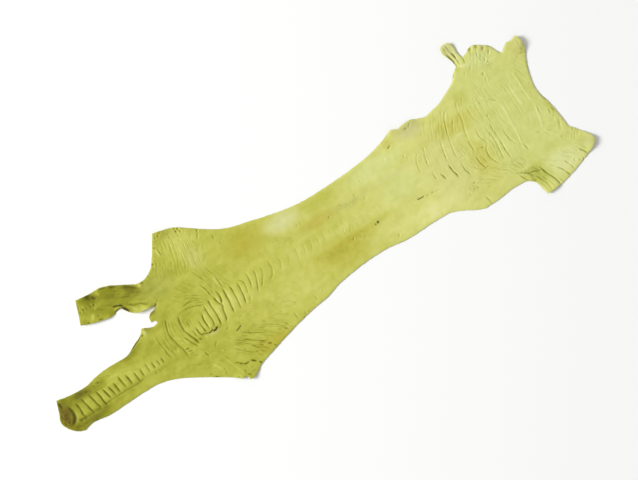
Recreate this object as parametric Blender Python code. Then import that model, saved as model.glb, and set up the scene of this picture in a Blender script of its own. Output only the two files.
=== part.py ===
"""The leg skin of an ostrich, tanned and dyed: one sheet of leather lying flat, grain side up.

The skin was slit down the back of the leg and opened out. From -X to +X it runs from the long toe
and the short toe, over the foot joint with its plates, up the narrow shank to the wide hock.
The tables are in millimetres on the flat skin, seen from above, and the model is in metres.
"""

import math
from typing import NamedTuple

import bmesh
import bpy
import numpy as np
from mathutils import Vector
from mathutils.geometry import delaunay_2d_cdt

# Driving dimensions, in millimetres.
SKIN_LENGTH = 700.0
DRAWN_LENGTH = 700.0
LEATHER_THICKNESS = 1.3
THINNEST = 0.5
TO_METRES = 0.001 * SKIN_LENGTH / DRAWN_LENGTH

# How closely the mesh follows the drawn lines, in millimetres.
DRAWN_STEP = 1.2
ROUTE_STEP = 3.0
OUTLINE_TOLERANCE = 0.12
RIM_CLEARANCE = 1.6
FOLD_POINT_STEP = 3.7
FOLD_POINT_GAP = 1.6
FLANK_POINT_GAP = 2.0
LATTICE_PITCH = 7.0
TOE_PITCH = 4.5
LATTICE_GAP = 0.63

# The places that are curled or plated all over, so that the mesh is closer there: the short toe, the
# long toe's plates and the strip, each as the lowest and highest corner of a rectangle.
CLOSE_DRAWN = (
    ((-275, 25), (-183, 82)),
    ((-350, -45), (-200, -18)),
    ((250, 70), (270, 107)),
)

# A groove pushes up a soft lip on each side: how high it is next to the groove's depth, and how far
# out it stands and the mesh has its points, in widths of the groove.
LIP_SHARE = 0.35
LIP_OFFSET = 2.2
FLANK_OFFSET = 1.7

# Folds fade out towards their ends, over this first and last share of their run at least.
FADE_START = 0.03

# Lifts lower than this, in millimetres, are taken as lying flat.
LEAST_LIFT = 0.05

# The finish, for this model's own plain look.
LEATHER_COLOUR = (0.55, 0.56, 0.11, 1.0)
LEATHER_ROUGHNESS = 0.55


class Fold(NamedTuple):
    """A crease in the grain: its width, its depth and its run. A ridge has a negative depth."""

    width: float
    depth: float
    route: tuple


class Lift(NamedTuple):
    """A place where the skin curls up off the surface: its reach, its height and its line."""

    reach: float
    height: float
    line: tuple


class Seam(NamedTuple):
    """The groove between two plates of the long toe: its place along the toe, and its two ends across it."""

    along: float
    inner: float
    outer: float


# The cut edge, anticlockwise from above. Each stretch is one smooth curve, and its ends are corners.
CUT_EDGE = {
    "claw end": ((-341, -7), (-346, -20), (-350, -33), (-345.5, -43), (-338, -50.6), (-331, -53.6)),
    "long toe, outer side": ((-331, -53.6), (-320, -51), (-300, -53.5), (-262, -52.7), (-228, -53.6),
                             (-212, -58.3), (-190, -69.4), (-169.5, -82), (-155, -91.2), (-144, -99.7)),
    "lower flap, torn tip": ((-144, -99.7), (-140.5, -98.8), (-138, -101.2), (-137, -104.8)),
    "lower flap to shank": ((-137, -104.8), (-133.5, -105.4), (-127, -103.4), (-116, -96.7), (-108, -94.2),
                            (-90, -88.9), (-62, -81.2), (-30, -74.3), (-8, -71), (8, -65.6)),
    "shank, lower side": ((8, -65.6), (25, -63.1), (62, -60.2), (80, -60.6), (98, -63.4), (150, -63.2),
                          (162, -64.2), (178, -70.9), (191, -78.2), (200, -81.4)),
    "hock, lower side": ((200, -81.4), (215, -81), (243, -78.7), (260, -81.9), (265.2, -87.2),
                         (268, -97), (269.8, -105.4)),
    "hock flap": ((269.8, -105.4), (284, -104.6), (303, -101), (322, -94.6), (338, -88.7), (346, -84.2),
                  (350, -78.5), (346.6, -70.7), (338.4, -59.6), (331.5, -51)),
    "hock end": ((331.5, -51), (329.8, -33), (326, -12), (322.3, 2), (323.9, 19), (330.6, 40),
                 (337.1, 56), (337, 64), (335.3, 69.4)),
    "hock ear": ((335.3, 69.4), (332.5, 70.2), (328, 68.3), (321.5, 69.2)),
    "hock notch": ((321.5, 69.2), (315.5, 65), (310, 61.8), (306.8, 67), (302.5, 76), (294, 82.5),
                   (287.5, 86.8), (280.5, 86.3), (274.5, 82.6), (269, 81.2)),
    "strip": ((269, 81.2), (267.2, 88), (266.8, 98), (264.2, 103.8), (258.5, 105.4), (253.2, 103.8),
              (251.4, 99), (254, 91), (256.8, 82.5), (257.2, 76)),
    "hock, upper side": ((257.2, 76), (248.5, 69), (243.5, 63), (232, 56.7), (218, 50.3), (206, 47.6),
                         (195, 45.9), (187.5, 48.6), (180, 51.7), (169, 52), (161, 50.8), (154, 54)),
    "shank, upper side": ((154, 54), (140, 48.8), (118, 42.8), (95, 40), (50, 37.7), (20, 38.2), (0, 41),
                          (-22, 46), (-45, 52), (-66, 57.5), (-82, 65.5), (-97.5, 76), (-109, 84.5),
                          (-120, 91.8), (-133, 95.8), (-144, 98.5)),
    "upper flap, toe side": ((-144, 98.5), (-149.5, 90.5), (-160, 74.5), (-168, 64.8), (-177, 59.5),
                             (-186, 58), (-191.5, 58.8)),
    "short toe, upper side": ((-191.5, 58.8), (-205, 66.3), (-219, 73.8), (-229, 77.3), (-245, 77.8),
                              (-261, 80)),
    "short toe, end": ((-261, 80), (-266, 66), (-271, 52)),
    "short toe, lower side": ((-271, 52), (-262, 48.4), (-249, 44.6), (-240, 42.6), (-231, 42)),
    "short toe, pinch": ((-231, 42), (-226, 44.4), (-221, 45)),
    "short toe, lip": ((-221, 45), (-217.5, 39.5), (-212.5, 33.2), (-205, 29), (-196, 27.8), (-185.3, 25.3)),
    "torn web": ((-185.3, 25.3), (-189, 23), (-195.5, 20.8), (-199.3, 16.5), (-199.6, 11.8)),
    "torn web, notch": ((-199.6, 11.8), (-196.5, 11.6), (-193.8, 8), (-197.5, 6.4), (-205, 8), (-213, 11.6)),
    "long toe, inner side": ((-213, 11.6), (-217, 7), (-230, 0.4), (-244, -6.3), (-253, -6.6), (-272, -6.2),
                             (-288, -7.8), (-303, -11), (-318, -11), (-331, -9.2), (-341, -7)),
}

# The grooves between the plates along the long toe, from the claw to the foot joint.
LONG_TOE_SEAMS = (
    Seam(along=-323.5, inner=-20.5, outer=-41.5),
    Seam(along=-314, inner=-20, outer=-40.5),
    Seam(along=-304, inner=-20.5, outer=-40),
    Seam(along=-295.5, inner=-22, outer=-40.5),
    Seam(along=-287.8, inner=-23, outer=-39.5),
    Seam(along=-280.5, inner=-23, outer=-39),
    Seam(along=-273.3, inner=-24, outer=-38.5),
    Seam(along=-265.2, inner=-22, outer=-38.5),
    Seam(along=-256.8, inner=-24.5, outer=-38.5),
    Seam(along=-247.6, inner=-25, outer=-40),
    Seam(along=-240, inner=-26, outer=-38.5),
    Seam(along=-231.6, inner=-25.5, outer=-37.5),
    Seam(along=-224.5, inner=-26.5, outer=-36.5),
    Seam(along=-218.2, inner=-27.5, outer=-36.5),
    Seam(along=-212, inner=-28, outer=-36.5),
    Seam(along=-206.8, inner=-28, outer=-36),
)
SEAM_LEAN = 1.2
SEAM_WIDTH = 1.5
SEAM_DEPTH = 1.0

# The raised bands that the plates stand on: along the long toe, and over the joint on to the shank.
PLATE_BANDS = (
    Fold(7.5, -0.9, ((-334, -31), (-300, -32), (-260, -32), (-225, -32), (-200, -32))),
    Fold(12.0, -0.9, ((-172, -22), (-150, -21), (-125, -16), (-98, -14), (-70, -10), (-40, -8), (-10, -9))),
)

# The grooves between the plates of the foot joint and the shank, from the toes towards the hock.
JOINT_SEAMS = (
    Fold(1.9, 0.6, ((-206, -5), (-204.5, -20), (-203, -30), (-200, -40))),
    Fold(2.1, 1.1, ((-180, 15), (-187, 0), (-190, -13), (-189.5, -20), (-187, -29), (-184.5, -38),
                    (-184, -45))),
    Fold(1.6, 0.9, ((-178, -20), (-174, -29), (-170.5, -36), (-167.5, -42), (-163, -57))),
    Fold(2.0, 1.1, ((-167, 11), (-172, 0), (-174, -9), (-173.3, -16), (-171, -24), (-168.5, -32),
                    (-163, -40))),
    Fold(1.5, 0.8, ((-165.7, -18), (-163.5, -27), (-162, -33), (-158.5, -38))),
    Fold(1.4, 1.0, ((-161.5, -7), (-159.5, -18), (-158, -27), (-156, -33), (-151, -34.5))),
    Fold(1.4, 1.0, ((-153, -12), (-152.5, -21), (-151.5, -33))),
    Fold(1.5, 1.1, ((-145.4, -9), (-147, -19), (-147.5, -26), (-145, -34))),
    Fold(1.5, 1.1, ((-138.5, -4), (-138.5, -15), (-140, -23), (-139, -35))),
    Fold(1.6, 1.2, ((-131.7, 0), (-131, -12), (-132, -21), (-131, -28), (-134.5, -36))),
    Fold(1.6, 1.2, ((-129.5, 22), (-126, 8), (-124, -2), (-122.5, -9), (-120.5, -14), (-123, -23),
                    (-126, -31), (-131, -41))),
    Fold(1.4, 0.9, ((-117.5, 6), (-117.5, -6), (-119, -14))),
    Fold(1.6, 1.1, ((-110.5, 24), (-109.5, 6), (-109.8, -6), (-112, -20), (-116, -33))),
    Fold(1.6, 1.2, ((-101.5, 4), (-100.5, -8), (-101.5, -20), (-106, -33))),
    Fold(1.6, 1.1, ((-91.5, 4), (-92, -9), (-93.5, -20), (-98.5, -33))),
    Fold(1.4, 0.9, ((-89.5, 1), (-84.5, -6), (-85.8, -14), (-87, -23), (-91.5, -31))),
    Fold(1.4, 0.8, ((-77.5, 6), (-77.5, -5), (-80, -17))),
    Fold(1.4, 0.8, ((-67.5, 3), (-67.5, -4), (-71.5, -12), (-74.5, -20), (-78, -28))),
    Fold(1.4, 0.7, ((-59, 3), (-59, -8), (-64, -15), (-70.5, -22))),
    Fold(1.4, 0.6, ((-47.5, 1), (-48, -7), (-51, -14), (-58, -20))),
    Fold(1.4, 0.5, ((-36, 1), (-35, -7), (-40, -17))),
)

# Rings in the loose skin round the foot joint, and the fans of creases on the two flaps beside it.
JOINT_RINGS = (
    Fold(1.6, 0.7, ((-173, 1), (-163, 3.3), (-153, 2), (-144, -1), (-135, -5))),
    Fold(1.6, 0.7, ((-165, 7), (-155, 8.6), (-146, 7.5), (-139, 4), (-132.5, -2))),
    Fold(1.6, 0.5, ((-158, 12.5), (-148, 11.5), (-140, 8), (-132, 3))),
    Fold(1.7, 0.5, ((-152, 32), (-145, 25), (-138, 17), (-131, 6))),
    Fold(1.8, 0.6, ((-130.5, 42), (-127, 31), (-122, 21), (-117, 8))),
)
UPPER_FLAP_FOLDS = (
    Fold(1.8, 0.9, ((-152, 88), (-149.7, 78), (-149.5, 68))),
    Fold(1.8, 0.6, ((-143, 65), (-146.5, 55), (-149, 46), (-152, 36))),
    Fold(1.8, 0.6, ((-137, 82), (-136.5, 70), (-139.5, 58), (-142, 44))),
    Fold(1.7, 0.6, ((-129, 60), (-131, 50), (-134, 40))),
    Fold(1.7, 0.6, ((-123.5, 67), (-123.5, 52), (-126, 40))),
    Fold(1.7, 0.7, ((-117.3, 65), (-118, 53), (-120.5, 39))),
    Fold(1.7, 0.6, ((-111.5, 63), (-112, 52), (-114.5, 41))),
)
LOWER_FLAP_FOLDS = (
    Fold(1.9, 1.1, ((-143, -78), (-137, -82), (-133, -86), (-128, -86.3), (-123.5, -88.5), (-119, -93),
                    (-114, -98))),
    Fold(1.7, 1.0, ((-105, -72), (-101, -76), (-96, -81), (-91, -89))),
    Fold(1.6, 0.6, ((-112, -77), (-105, -86), (-100, -91))),
    Fold(1.6, 0.6, ((-120, -60), (-113, -66), (-106, -71))),
    Fold(2.4, -0.8, ((-151, -63), (-145, -76), (-142.5, -88), (-140.5, -99))),
    Fold(2.4, -0.6, ((-168, -66), (-162, -72), (-157, -80))),
    Fold(1.6, 0.7, ((-69, -69), (-65.5, -76), (-62, -82))),
    Fold(1.6, 0.6, ((-165.5, -50), (-162.5, -59))),
)

# The long folds across the front of the hock, and the deep ones that gather into its lower flap.
HOCK_FOLDS = (
    Fold(1.7, 0.8, ((166, 18), (160.5, 9), (157.5, 0), (156.3, -12))),
    Fold(1.8, 0.9, ((177, 22), (172, 8), (169, 0), (168.5, -14), (170.3, -29))),
    Fold(1.6, 0.7, ((175, -18), (179, -30))),
    Fold(1.8, 1.1, ((198, 16), (193, 4), (190.5, -8), (189, -20), (190.5, -28), (194.5, -39))),
    Fold(1.9, 0.9, ((209, 27), (205, 11), (202.5, -2), (202, -19), (203, -30), (207, -45))),
    Fold(1.8, 0.8, ((223, 41), (215.5, 33), (210, 23), (206, 8))),
    Fold(1.6, 0.7, ((224, 29), (217.5, 19), (212.5, 11), (216, 7))),
    Fold(2.0, 1.0, ((245, 46), (237, 37), (231.5, 28), (229.3, 17), (225, 3), (223.2, -8), (223, -22),
                    (222.5, -30), (224.5, -43))),
    Fold(1.6, 0.9, ((225.5, -25), (230, -43))),
    Fold(1.8, 1.0, ((238, -22), (234.3, -31), (236, -39), (243, -51))),
    Fold(1.7, 0.7, ((243.5, 30), (241.7, 14), (246.5, 4))),
    Fold(1.7, 0.8, ((238.5, 3), (237, -5), (239.5, -14), (240.5, -22))),
    Fold(2.0, 0.8, ((250.5, 40), (251, 24), (252, 8), (248, -8), (249.5, -17))),
    Fold(2.0, 1.1, ((254, 2), (255, -12), (255.3, -20), (254, -32), (255.5, -51))),
    Fold(1.8, 0.8, ((258, 42), (257.5, 26), (257.3, 6))),
    Fold(1.6, 0.8, ((264.5, -13), (265, -28), (269.5, -42))),
    Fold(1.8, 0.6, ((267, 50), (267, 36), (267.5, 22))),
    Fold(2.2, -0.7, ((277, 24), (278, 8), (277.5, -10), (276, -34))),
    Fold(1.8, 0.8, ((277, -34), (277.3, -52))),
    Fold(2.2, -0.8, ((298, 26), (299, 8), (299.3, -8))),
    Fold(2.2, -0.8, ((309.3, 38), (309.5, 16), (310.5, -7))),
    Fold(1.8, 0.7, ((327.5, -37), (321, -54))),
    Fold(1.7, 0.8, ((206.5, -68), (209.3, -83))),
)
HOCK_FLAP_FOLDS = (
    Fold(1.8, 0.9, ((248, -63), (256, -68.5), (263.5, -73), (269, -79))),
    Fold(2.0, 1.0, ((252, -68), (256, -76), (260, -83))),
    Fold(1.8, 1.3, ((278.5, -73), (279, -83), (283, -91), (286, -99), (289, -107))),
    Fold(2.0, 1.0, ((268, -78), (273, -88), (275.5, -96), (277.5, -107))),
    Fold(1.7, 1.2, ((293.5, -81), (299, -91), (304, -104))),
    Fold(1.6, 0.8, ((305.5, -81), (309.7, -91), (312, -100))),
    Fold(1.6, 1.0, ((327, -78), (330.5, -85), (334.5, -93))),
)
UPPER_LOBE_FOLDS = (
    Fold(1.6, 0.8, ((283, 89), (279, 80), (268, 63))),
    Fold(1.6, 0.7, ((290, 87), (284, 74))),
    Fold(1.6, 0.9, ((303, 80), (296, 70))),
)
STRIP_FOLDS = (
    Fold(1.9, 1.0, ((258.5, 109), (261, 93), (261.8, 76))),
    Fold(2.2, -1.0, ((253.5, 106), (257.5, 92), (259, 76))),
    Fold(2.2, -1.0, ((264, 106), (264.8, 90), (266.5, 76))),
    Fold(1.8, -0.9, ((256, 76.5), (264, 73), (273, 70))),
)
SHORT_TOE_FOLDS = (
    Fold(1.7, 0.8, ((-231, 51.5), (-223, 48.5), (-217, 45.5))),
    Fold(2.4, 0.6, ((-214, 42), (-204, 36.5), (-192, 32.5))),
    Fold(1.8, 0.6, ((-230, 71), (-210, 60), (-191, 49))),
    Fold(1.5, 0.6, ((-260.5, 71), (-259, 60))),
    Fold(1.5, 0.6, ((-255.5, 71), (-254, 60))),
    Fold(1.5, 0.6, ((-250.5, 70), (-249, 60))),
)
ALL_FOLDS = (
    JOINT_SEAMS + JOINT_RINGS + UPPER_FLAP_FOLDS + LOWER_FLAP_FOLDS + HOCK_FOLDS
    + HOCK_FLAP_FOLDS + UPPER_LOBE_FOLDS + STRIP_FOLDS + SHORT_TOE_FOLDS
)

# The claw was drawn out of the end of the long toe, and left a shallow dish in the skin.
CLAW_DISH = Fold(5.5, 0.6, ((-344, -27), (-341, -35)))

# Where the skin stands off the surface it lies on.
LIFTS = (
    Lift(reach=7.0, height=5.5, line=((-215, 33), (-204, 26), (-194, 25))),
    Lift(reach=4.0, height=3.0, line=((-221, 46), (-217, 40))),
    Lift(reach=6.0, height=4.0, line=((-240, 39), (-250, 42), (-258, 45))),
    Lift(reach=7.5, height=4.5, line=((-230, 79), (-222, 77))),
    Lift(reach=7.0, height=3.5, line=((-262, 82), (-254, 80))),
    Lift(reach=6.0, height=3.0, line=((-273, 52), (-268, 50))),
    Lift(reach=5.0, height=3.0, line=((-201, 13), (-198, 19))),
    Lift(reach=6.0, height=3.0, line=((-214, 13), (-212, 12))),
    Lift(reach=8.0, height=3.5, line=((-351, -34), (-345, -45))),
    Lift(reach=7.0, height=3.5, line=((-343, -6), (-338, -7))),
    Lift(reach=9.0, height=3.5, line=((-135, -107), (-142, -101))),
    Lift(reach=11.0, height=4.0, line=((-146, 101), (-138, 99))),
    Lift(reach=10.0, height=4.5, line=((254, 106), (262, 107))),
    Lift(reach=7.0, height=2.5, line=((253, 92), (252, 100))),
    Lift(reach=10.0, height=5.0, line=((338, 71), (338, 62))),
    Lift(reach=10.0, height=4.0, line=((352, -79), (347, -85))),
    Lift(reach=9.0, height=3.0, line=((271, -107), (279, -107))),
    Lift(reach=9.0, height=2.5, line=((155, 56), (174, 55))),
)


def smooth_through(points, step=DRAWN_STEP):
    """Points about one step apart on the smooth curve through the given ones, ends included."""
    knots = [Vector(p) for p in points]
    if len(knots) == 2:
        count = max(1, round((knots[1] - knots[0]).length / step))
        return [tuple(knots[0].lerp(knots[1], i / count)) for i in range(count + 1)]
    gaps = [(b - a).length for a, b in zip(knots, knots[1:])]
    slopes = [(knots[1] - knots[0]) / gaps[0]]
    for i in range(1, len(knots) - 1):
        before = (knots[i] - knots[i - 1]) / gaps[i - 1]
        after = (knots[i + 1] - knots[i]) / gaps[i]
        slopes.append((before * gaps[i] + after * gaps[i - 1]) / (gaps[i] + gaps[i - 1]))
    slopes.append((knots[-1] - knots[-2]) / gaps[-1])
    curve = [tuple(knots[0])]
    for i, gap in enumerate(gaps):
        count = max(1, round(gap / step))
        for k in range(1, count + 1):
            t = k / count
            start = knots[i] * (2 * t**3 - 3 * t**2 + 1) + slopes[i] * gap * (t**3 - 2 * t**2 + t)
            end = knots[i + 1] * (3 * t**2 - 2 * t**3) + slopes[i + 1] * gap * (t**3 - t**2)
            curve.append(tuple(start + end))
    return curve


def thinned(line, tolerance):
    """The line without the points that lie within the tolerance of the chord between their neighbours."""
    if len(line) < 3:
        return line
    ends = np.array([line[0], line[-1]], float)
    chord = ends[1] - ends[0]
    inner = np.array(line[1:-1], float) - ends[0]
    off = np.abs(inner[:, 0] * chord[1] - inner[:, 1] * chord[0]) / max(np.hypot(*chord), 1e-9)
    worst = int(off.argmax())
    if off[worst] < tolerance:
        return [line[0], line[-1]]
    split = worst + 1
    return thinned(line[: split + 1], tolerance)[:-1] + thinned(line[split:], tolerance)


def cut_edge():
    """The outline as one closed ring of points, corners kept."""
    ring = []
    for stretch in CUT_EDGE.values():
        ring += thinned(smooth_through(stretch), OUTLINE_TOLERANCE)[:-1]
    return np.array(ring, float)


def nearest_on(route, places):
    """How far each place lies from the route, and how far along it its nearest point is, from 0 to 1."""
    line = np.array(route, float)
    starts, steps = line[:-1], np.diff(line, axis=0)
    lengths = np.hypot(steps[:, 0], steps[:, 1])
    before = np.concatenate([[0.0], np.cumsum(lengths)])
    offset = places[:, None, :] - starts[None, :, :]
    share = np.clip((offset * steps).sum(2) / (lengths**2), 0.0, 1.0)
    gap = np.linalg.norm(offset - share[..., None] * steps, axis=2)
    best = gap.argmin(axis=1)
    rows = np.arange(len(places))
    along = before[best] + share[rows, best] * lengths[best]
    return gap[rows, best], along / before[-1]


def faded(along):
    """How strong a fold is at a share of the way along it: full in the middle, and weak at its ends."""
    return np.sqrt(np.sin(math.pi * np.clip(along, FADE_START, 1.0 - FADE_START)))


def groove_height(fold, places):
    """What a groove adds to the height of each place: less along its middle, more on its two lips."""
    distance, along = nearest_on(smooth_through(fold.route, ROUTE_STEP), places)
    groove = np.exp(-((distance / fold.width) ** 2))
    lips = np.exp(-(((distance - LIP_OFFSET * fold.width) / fold.width) ** 2))
    return -fold.depth * faded(along) * (groove - LIP_SHARE * lips)


def band_height(fold, places):
    """What a broad band adds to the height of each place: level across it, and steep at its sides."""
    distance, along = nearest_on(smooth_through(fold.route, ROUTE_STEP), places)
    return -fold.depth * faded(along) * np.exp(-((distance / fold.width) ** 4))


def long_toe_folds():
    """The groove at each seam of the long toe, leaning a little towards the claw on its inner side."""
    folds = [Fold(SEAM_WIDTH, SEAM_DEPTH, ((-335.5, -19), (-332, -30), (-334, -37), (-340, -42)))]
    for seam in LONG_TOE_SEAMS:
        middle = (seam.inner + seam.outer) / 2
        route = (
            (seam.along - SEAM_LEAN, seam.inner + 1.5),
            (seam.along + 0.4, middle),
            (seam.along + SEAM_LEAN, seam.outer - 1.5),
        )
        folds.append(Fold(SEAM_WIDTH, SEAM_DEPTH, route))
    return tuple(folds)


def lift_height(places):
    """How far the underside stands off the surface at each place."""
    total = np.zeros(len(places))
    for lift in LIFTS:
        distance, _ = nearest_on(lift.line, places)
        total += lift.height * np.exp(-((distance / lift.reach) ** 2))
    return np.where(total < LEAST_LIFT, 0.0, total)


def grain_height(places, folds):
    """How far the grain side stands over the underside at each place, plates and folds included."""
    height = np.full(len(places), LEATHER_THICKNESS)
    for fold in PLATE_BANDS + (CLAW_DISH,):
        height += band_height(fold, places)
    for fold in folds:
        height += groove_height(fold, places)
    return np.maximum(height, THINNEST)


def inside(ring, places):
    """Which places lie inside the closed ring."""
    x, y = places[:, 0], places[:, 1]
    crossed = np.zeros(len(places), bool)
    for (ax, ay), (bx, by) in zip(ring, np.roll(ring, -1, axis=0)):
        if ay == by:
            continue
        straddles = (ay > y) != (by > y)
        crossed ^= straddles & (x < ax + (y - ay) * (bx - ax) / (by - ay))
    return crossed


def rows_beside(route, offset, step):
    """Points along a route, shifted sideways by the offset."""
    line = np.array(smooth_through(route, step), float)
    heading = np.gradient(line, axis=0)
    heading /= np.linalg.norm(heading, axis=1)[:, None]
    return line + offset * np.stack([-heading[:, 1], heading[:, 0]], axis=1)


def lattice(low, high, pitch):
    """A triangular lattice over a rectangle."""
    rows = []
    for j, y in enumerate(np.arange(low[1], high[1], pitch * math.sqrt(3) / 2)):
        x = np.arange(low[0] + (j % 2) * pitch / 2, high[0], pitch)
        rows.append(np.stack([x, np.full(len(x), y)], axis=1))
    return np.concatenate(rows)


def spaced_places(ring, folds):
    """The points inside the outline that carry the relief: first the folds, then an even lattice."""
    wanted = []
    for fold in folds:
        wanted.append((rows_beside(fold.route, 0.0, FOLD_POINT_STEP), FOLD_POINT_GAP))
    for fold in folds:
        for side in (-FLANK_OFFSET, FLANK_OFFSET):
            beside = rows_beside(fold.route, side * fold.width, FOLD_POINT_STEP)
            wanted.append((beside, FLANK_POINT_GAP))
    for low, high in CLOSE_DRAWN:
        wanted.append((lattice(low, high, TOE_PITCH), LATTICE_GAP * TOE_PITCH))
    wanted.append((lattice(ring.min(0), ring.max(0), LATTICE_PITCH), LATTICE_GAP * LATTICE_PITCH))
    kept = {}
    cell = LATTICE_PITCH / 2

    def crowded(x, y, gap):
        reach = int(math.ceil(gap / cell))
        column, row = int(x // cell), int(y // cell)
        for i in range(column - reach, column + reach + 1):
            for j in range(row - reach, row + reach + 1):
                for px, py in kept.get((i, j), ()):
                    if (px - x) ** 2 + (py - y) ** 2 < gap * gap:
                        return True
        return False

    def keep(x, y):
        kept.setdefault((int(x // cell), int(y // cell)), []).append((x, y))

    rim = np.concatenate([ring, (ring + np.roll(ring, -1, axis=0)) / 2])
    for x, y in rim:
        keep(x, y)
    inner = []
    for places, gap in wanted:
        fits = inside(ring, places)
        distance, _ = nearest_on(np.vstack([ring, ring[:1]]), places)
        for x, y in places[fits & (distance > RIM_CLEARANCE)]:
            if not crowded(x, y, gap):
                keep(x, y)
                inner.append((x, y))
    return np.array(inner, float)


def leather_mesh():
    """The closed mesh of the skin: a flat triangulation of its outline, drawn up to its thickness."""
    folds = long_toe_folds() + ALL_FOLDS
    ring = cut_edge()
    inner = spaced_places(ring, folds)
    flat = [Vector(p) for p in np.concatenate([ring, inner])]
    found = delaunay_2d_cdt(flat, [], [list(range(len(ring)))], 1, 1e-4)
    places = np.array([tuple(p) for p in found[0]], float)
    under = lift_height(places) * TO_METRES
    over = under + grain_height(places, folds) * TO_METRES

    shape = bmesh.new()
    corners = [shape.verts.new((x * TO_METRES, y * TO_METRES, z)) for (x, y), z in zip(places, under)]
    for face in found[2]:
        shape.faces.new([corners[i] for i in face])
    shape.verts.index_update()
    rise = {v.co.to_tuple(7): over[v.index] for v in shape.verts}
    drawn = bmesh.ops.extrude_face_region(shape, geom=shape.faces[:], use_keep_orig=True)
    for item in drawn["geom"]:
        if isinstance(item, bmesh.types.BMVert):
            item.co.z = rise[item.co.to_tuple(7)]
    bmesh.ops.recalc_face_normals(shape, faces=shape.faces[:])
    mesh = bpy.data.meshes.new("skin")
    shape.to_mesh(mesh)
    shape.free()
    return mesh


def dyed_leather():
    """The plain lime-dyed leather."""
    material = bpy.data.materials.new("lime_leather")
    material.use_nodes = True
    shader = material.node_tree.nodes["Principled BSDF"]
    shader.inputs["Base Color"].default_value = LEATHER_COLOUR
    shader.inputs["Roughness"].default_value = LEATHER_ROUGHNESS
    shader.inputs["Metallic"].default_value = 0.0
    material.diffuse_color = LEATHER_COLOUR
    return material


def main():
    for old in list(bpy.data.objects):
        bpy.data.objects.remove(old)
    skin = bpy.data.objects.new("skin", leather_mesh())
    skin.data.materials.append(dyed_leather())
    skin.data.shade_smooth()
    skin.data.set_sharp_from_angle(angle=math.radians(50))
    bpy.context.scene.collection.objects.link(skin)


main()
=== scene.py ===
"""The leg skin of an ostrich, dressed for its picture: one laid sheet of lime-dyed leather in a plain studio.

The tables are in millimetres on the flat skin, seen from above, with +X from the toes to the hock.
The meshes are in metres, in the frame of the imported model.
"""

import logging
import math
from dataclasses import dataclass, field
from enum import Enum
from typing import NamedTuple

import bpy
import numpy as np
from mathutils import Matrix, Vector, kdtree
from mathutils.geometry import delaunay_2d_cdt


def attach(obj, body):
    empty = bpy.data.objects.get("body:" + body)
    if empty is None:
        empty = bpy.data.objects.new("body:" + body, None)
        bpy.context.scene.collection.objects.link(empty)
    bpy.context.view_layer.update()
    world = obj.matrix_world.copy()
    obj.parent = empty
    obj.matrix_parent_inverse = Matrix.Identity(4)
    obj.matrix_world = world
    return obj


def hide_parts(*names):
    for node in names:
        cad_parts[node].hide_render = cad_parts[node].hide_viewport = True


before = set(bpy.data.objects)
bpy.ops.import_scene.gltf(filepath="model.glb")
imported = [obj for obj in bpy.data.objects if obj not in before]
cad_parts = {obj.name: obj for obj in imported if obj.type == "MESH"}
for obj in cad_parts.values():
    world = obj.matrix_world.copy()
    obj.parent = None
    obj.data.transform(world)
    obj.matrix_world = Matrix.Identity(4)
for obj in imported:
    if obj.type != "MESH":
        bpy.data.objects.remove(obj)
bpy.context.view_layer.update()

LOG = logging.getLogger("leg_skin")
MM = 0.001

Point = tuple[float, float]
Route = tuple[Point, ...]


class Side(Enum):
    """The three kinds of surface on a piece of leather. Each face of the sheet carries its side's value."""

    GRAIN = 0
    CUT_EDGE = 1
    FLESH = 2


class Crease(NamedTuple):
    """A crease in the grain side: its width, its depth and its run. A ridge has a negative depth.

    The last value is how much of the valley is its wide round shoulders, which make the skin on
    both sides swell like a pad.
    """

    width: float
    depth: float
    route: Route
    plump: float = 0.0


class Curl(NamedTuple):
    """A place where the skin curls up off the table: its reach, its height and its line."""

    reach: float
    height: float
    line: Route


class Patch(NamedTuple):
    """A soft-edged oval: its centre, its half length and half width, and its heading in degrees."""

    centre: Point
    half: Point
    heading: float = 0.0


class WrinkleField(NamedTuple):
    """Many near-parallel fine wrinkles: the oval they fill, their heading, their spacing and their depth.

    The heading turns by some degrees for each millimetre across them, the fan, and along them, the bow.
    """

    place: Patch
    heading: float
    spacing: float
    depth: float
    fan: float = 0.0
    bow: float = 0.0


class DyeAndHighlightPatch(NamedTuple):
    """A place whose colour differs: deeper or paler, warmer or greener, and greyer. Most are where the dye
    took otherwise; a few paler ones are painted highlights on raised places.
    """

    place: Patch
    deeper: float = 0.0
    warmer: float = 0.0
    greyer: float = 0.0


class Mottle(NamedTuple):
    """Cloudy noise in a finish: how many millimetres across its clouds are, its detail and its range."""

    size: float
    detail: float
    low: float
    high: float


PIT_LENGTH = 1.0


def numbers(text: str) -> tuple[float, ...]:
    """Reads numbers that stand apart by spaces."""
    return tuple(float(value) for value in text.split())


def point_of(text: str) -> Point:
    """Reads a point, such as 12,-3.5."""
    x, y = text.split(",")
    return float(x), float(y)


def route_of(text: str) -> Route:
    """Reads a run of points that stand apart by spaces."""
    return tuple(point_of(point) for point in text.split())


def patch_of(text: str) -> Patch:
    """Reads a patch: its centre, its half length and half width, and its heading where it is turned."""
    centre, half, *heading = text.split()
    return Patch(point_of(centre), point_of(half), *map(float, heading))


def rows_of(text: str) -> list[list[str]]:
    """Splits a table into its rows, and each row at its colon. A line that starts with a space goes on."""
    return [row.split(":") for row in text.strip().replace("\n ", " ").splitlines()]


def crease_table(text: str, plump: float = 0.0) -> tuple[Crease, ...]:
    """Reads a table of creases.

    Args:
        text: One crease to a line: its width, its depth, a colon, and the points of its run. One
            point alone is a pit, or a knob where the depth is negative.
        plump: How much of each valley is its wide round shoulders.

    Returns:
        The creases.
    """
    creases = []
    for size, run in rows_of(text):
        route = route_of(run)
        if len(route) == 1:
            route += ((route[0][0], route[0][1] - PIT_LENGTH),)
        creases.append(Crease(*numbers(size), route, plump))
    return tuple(creases)



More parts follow.
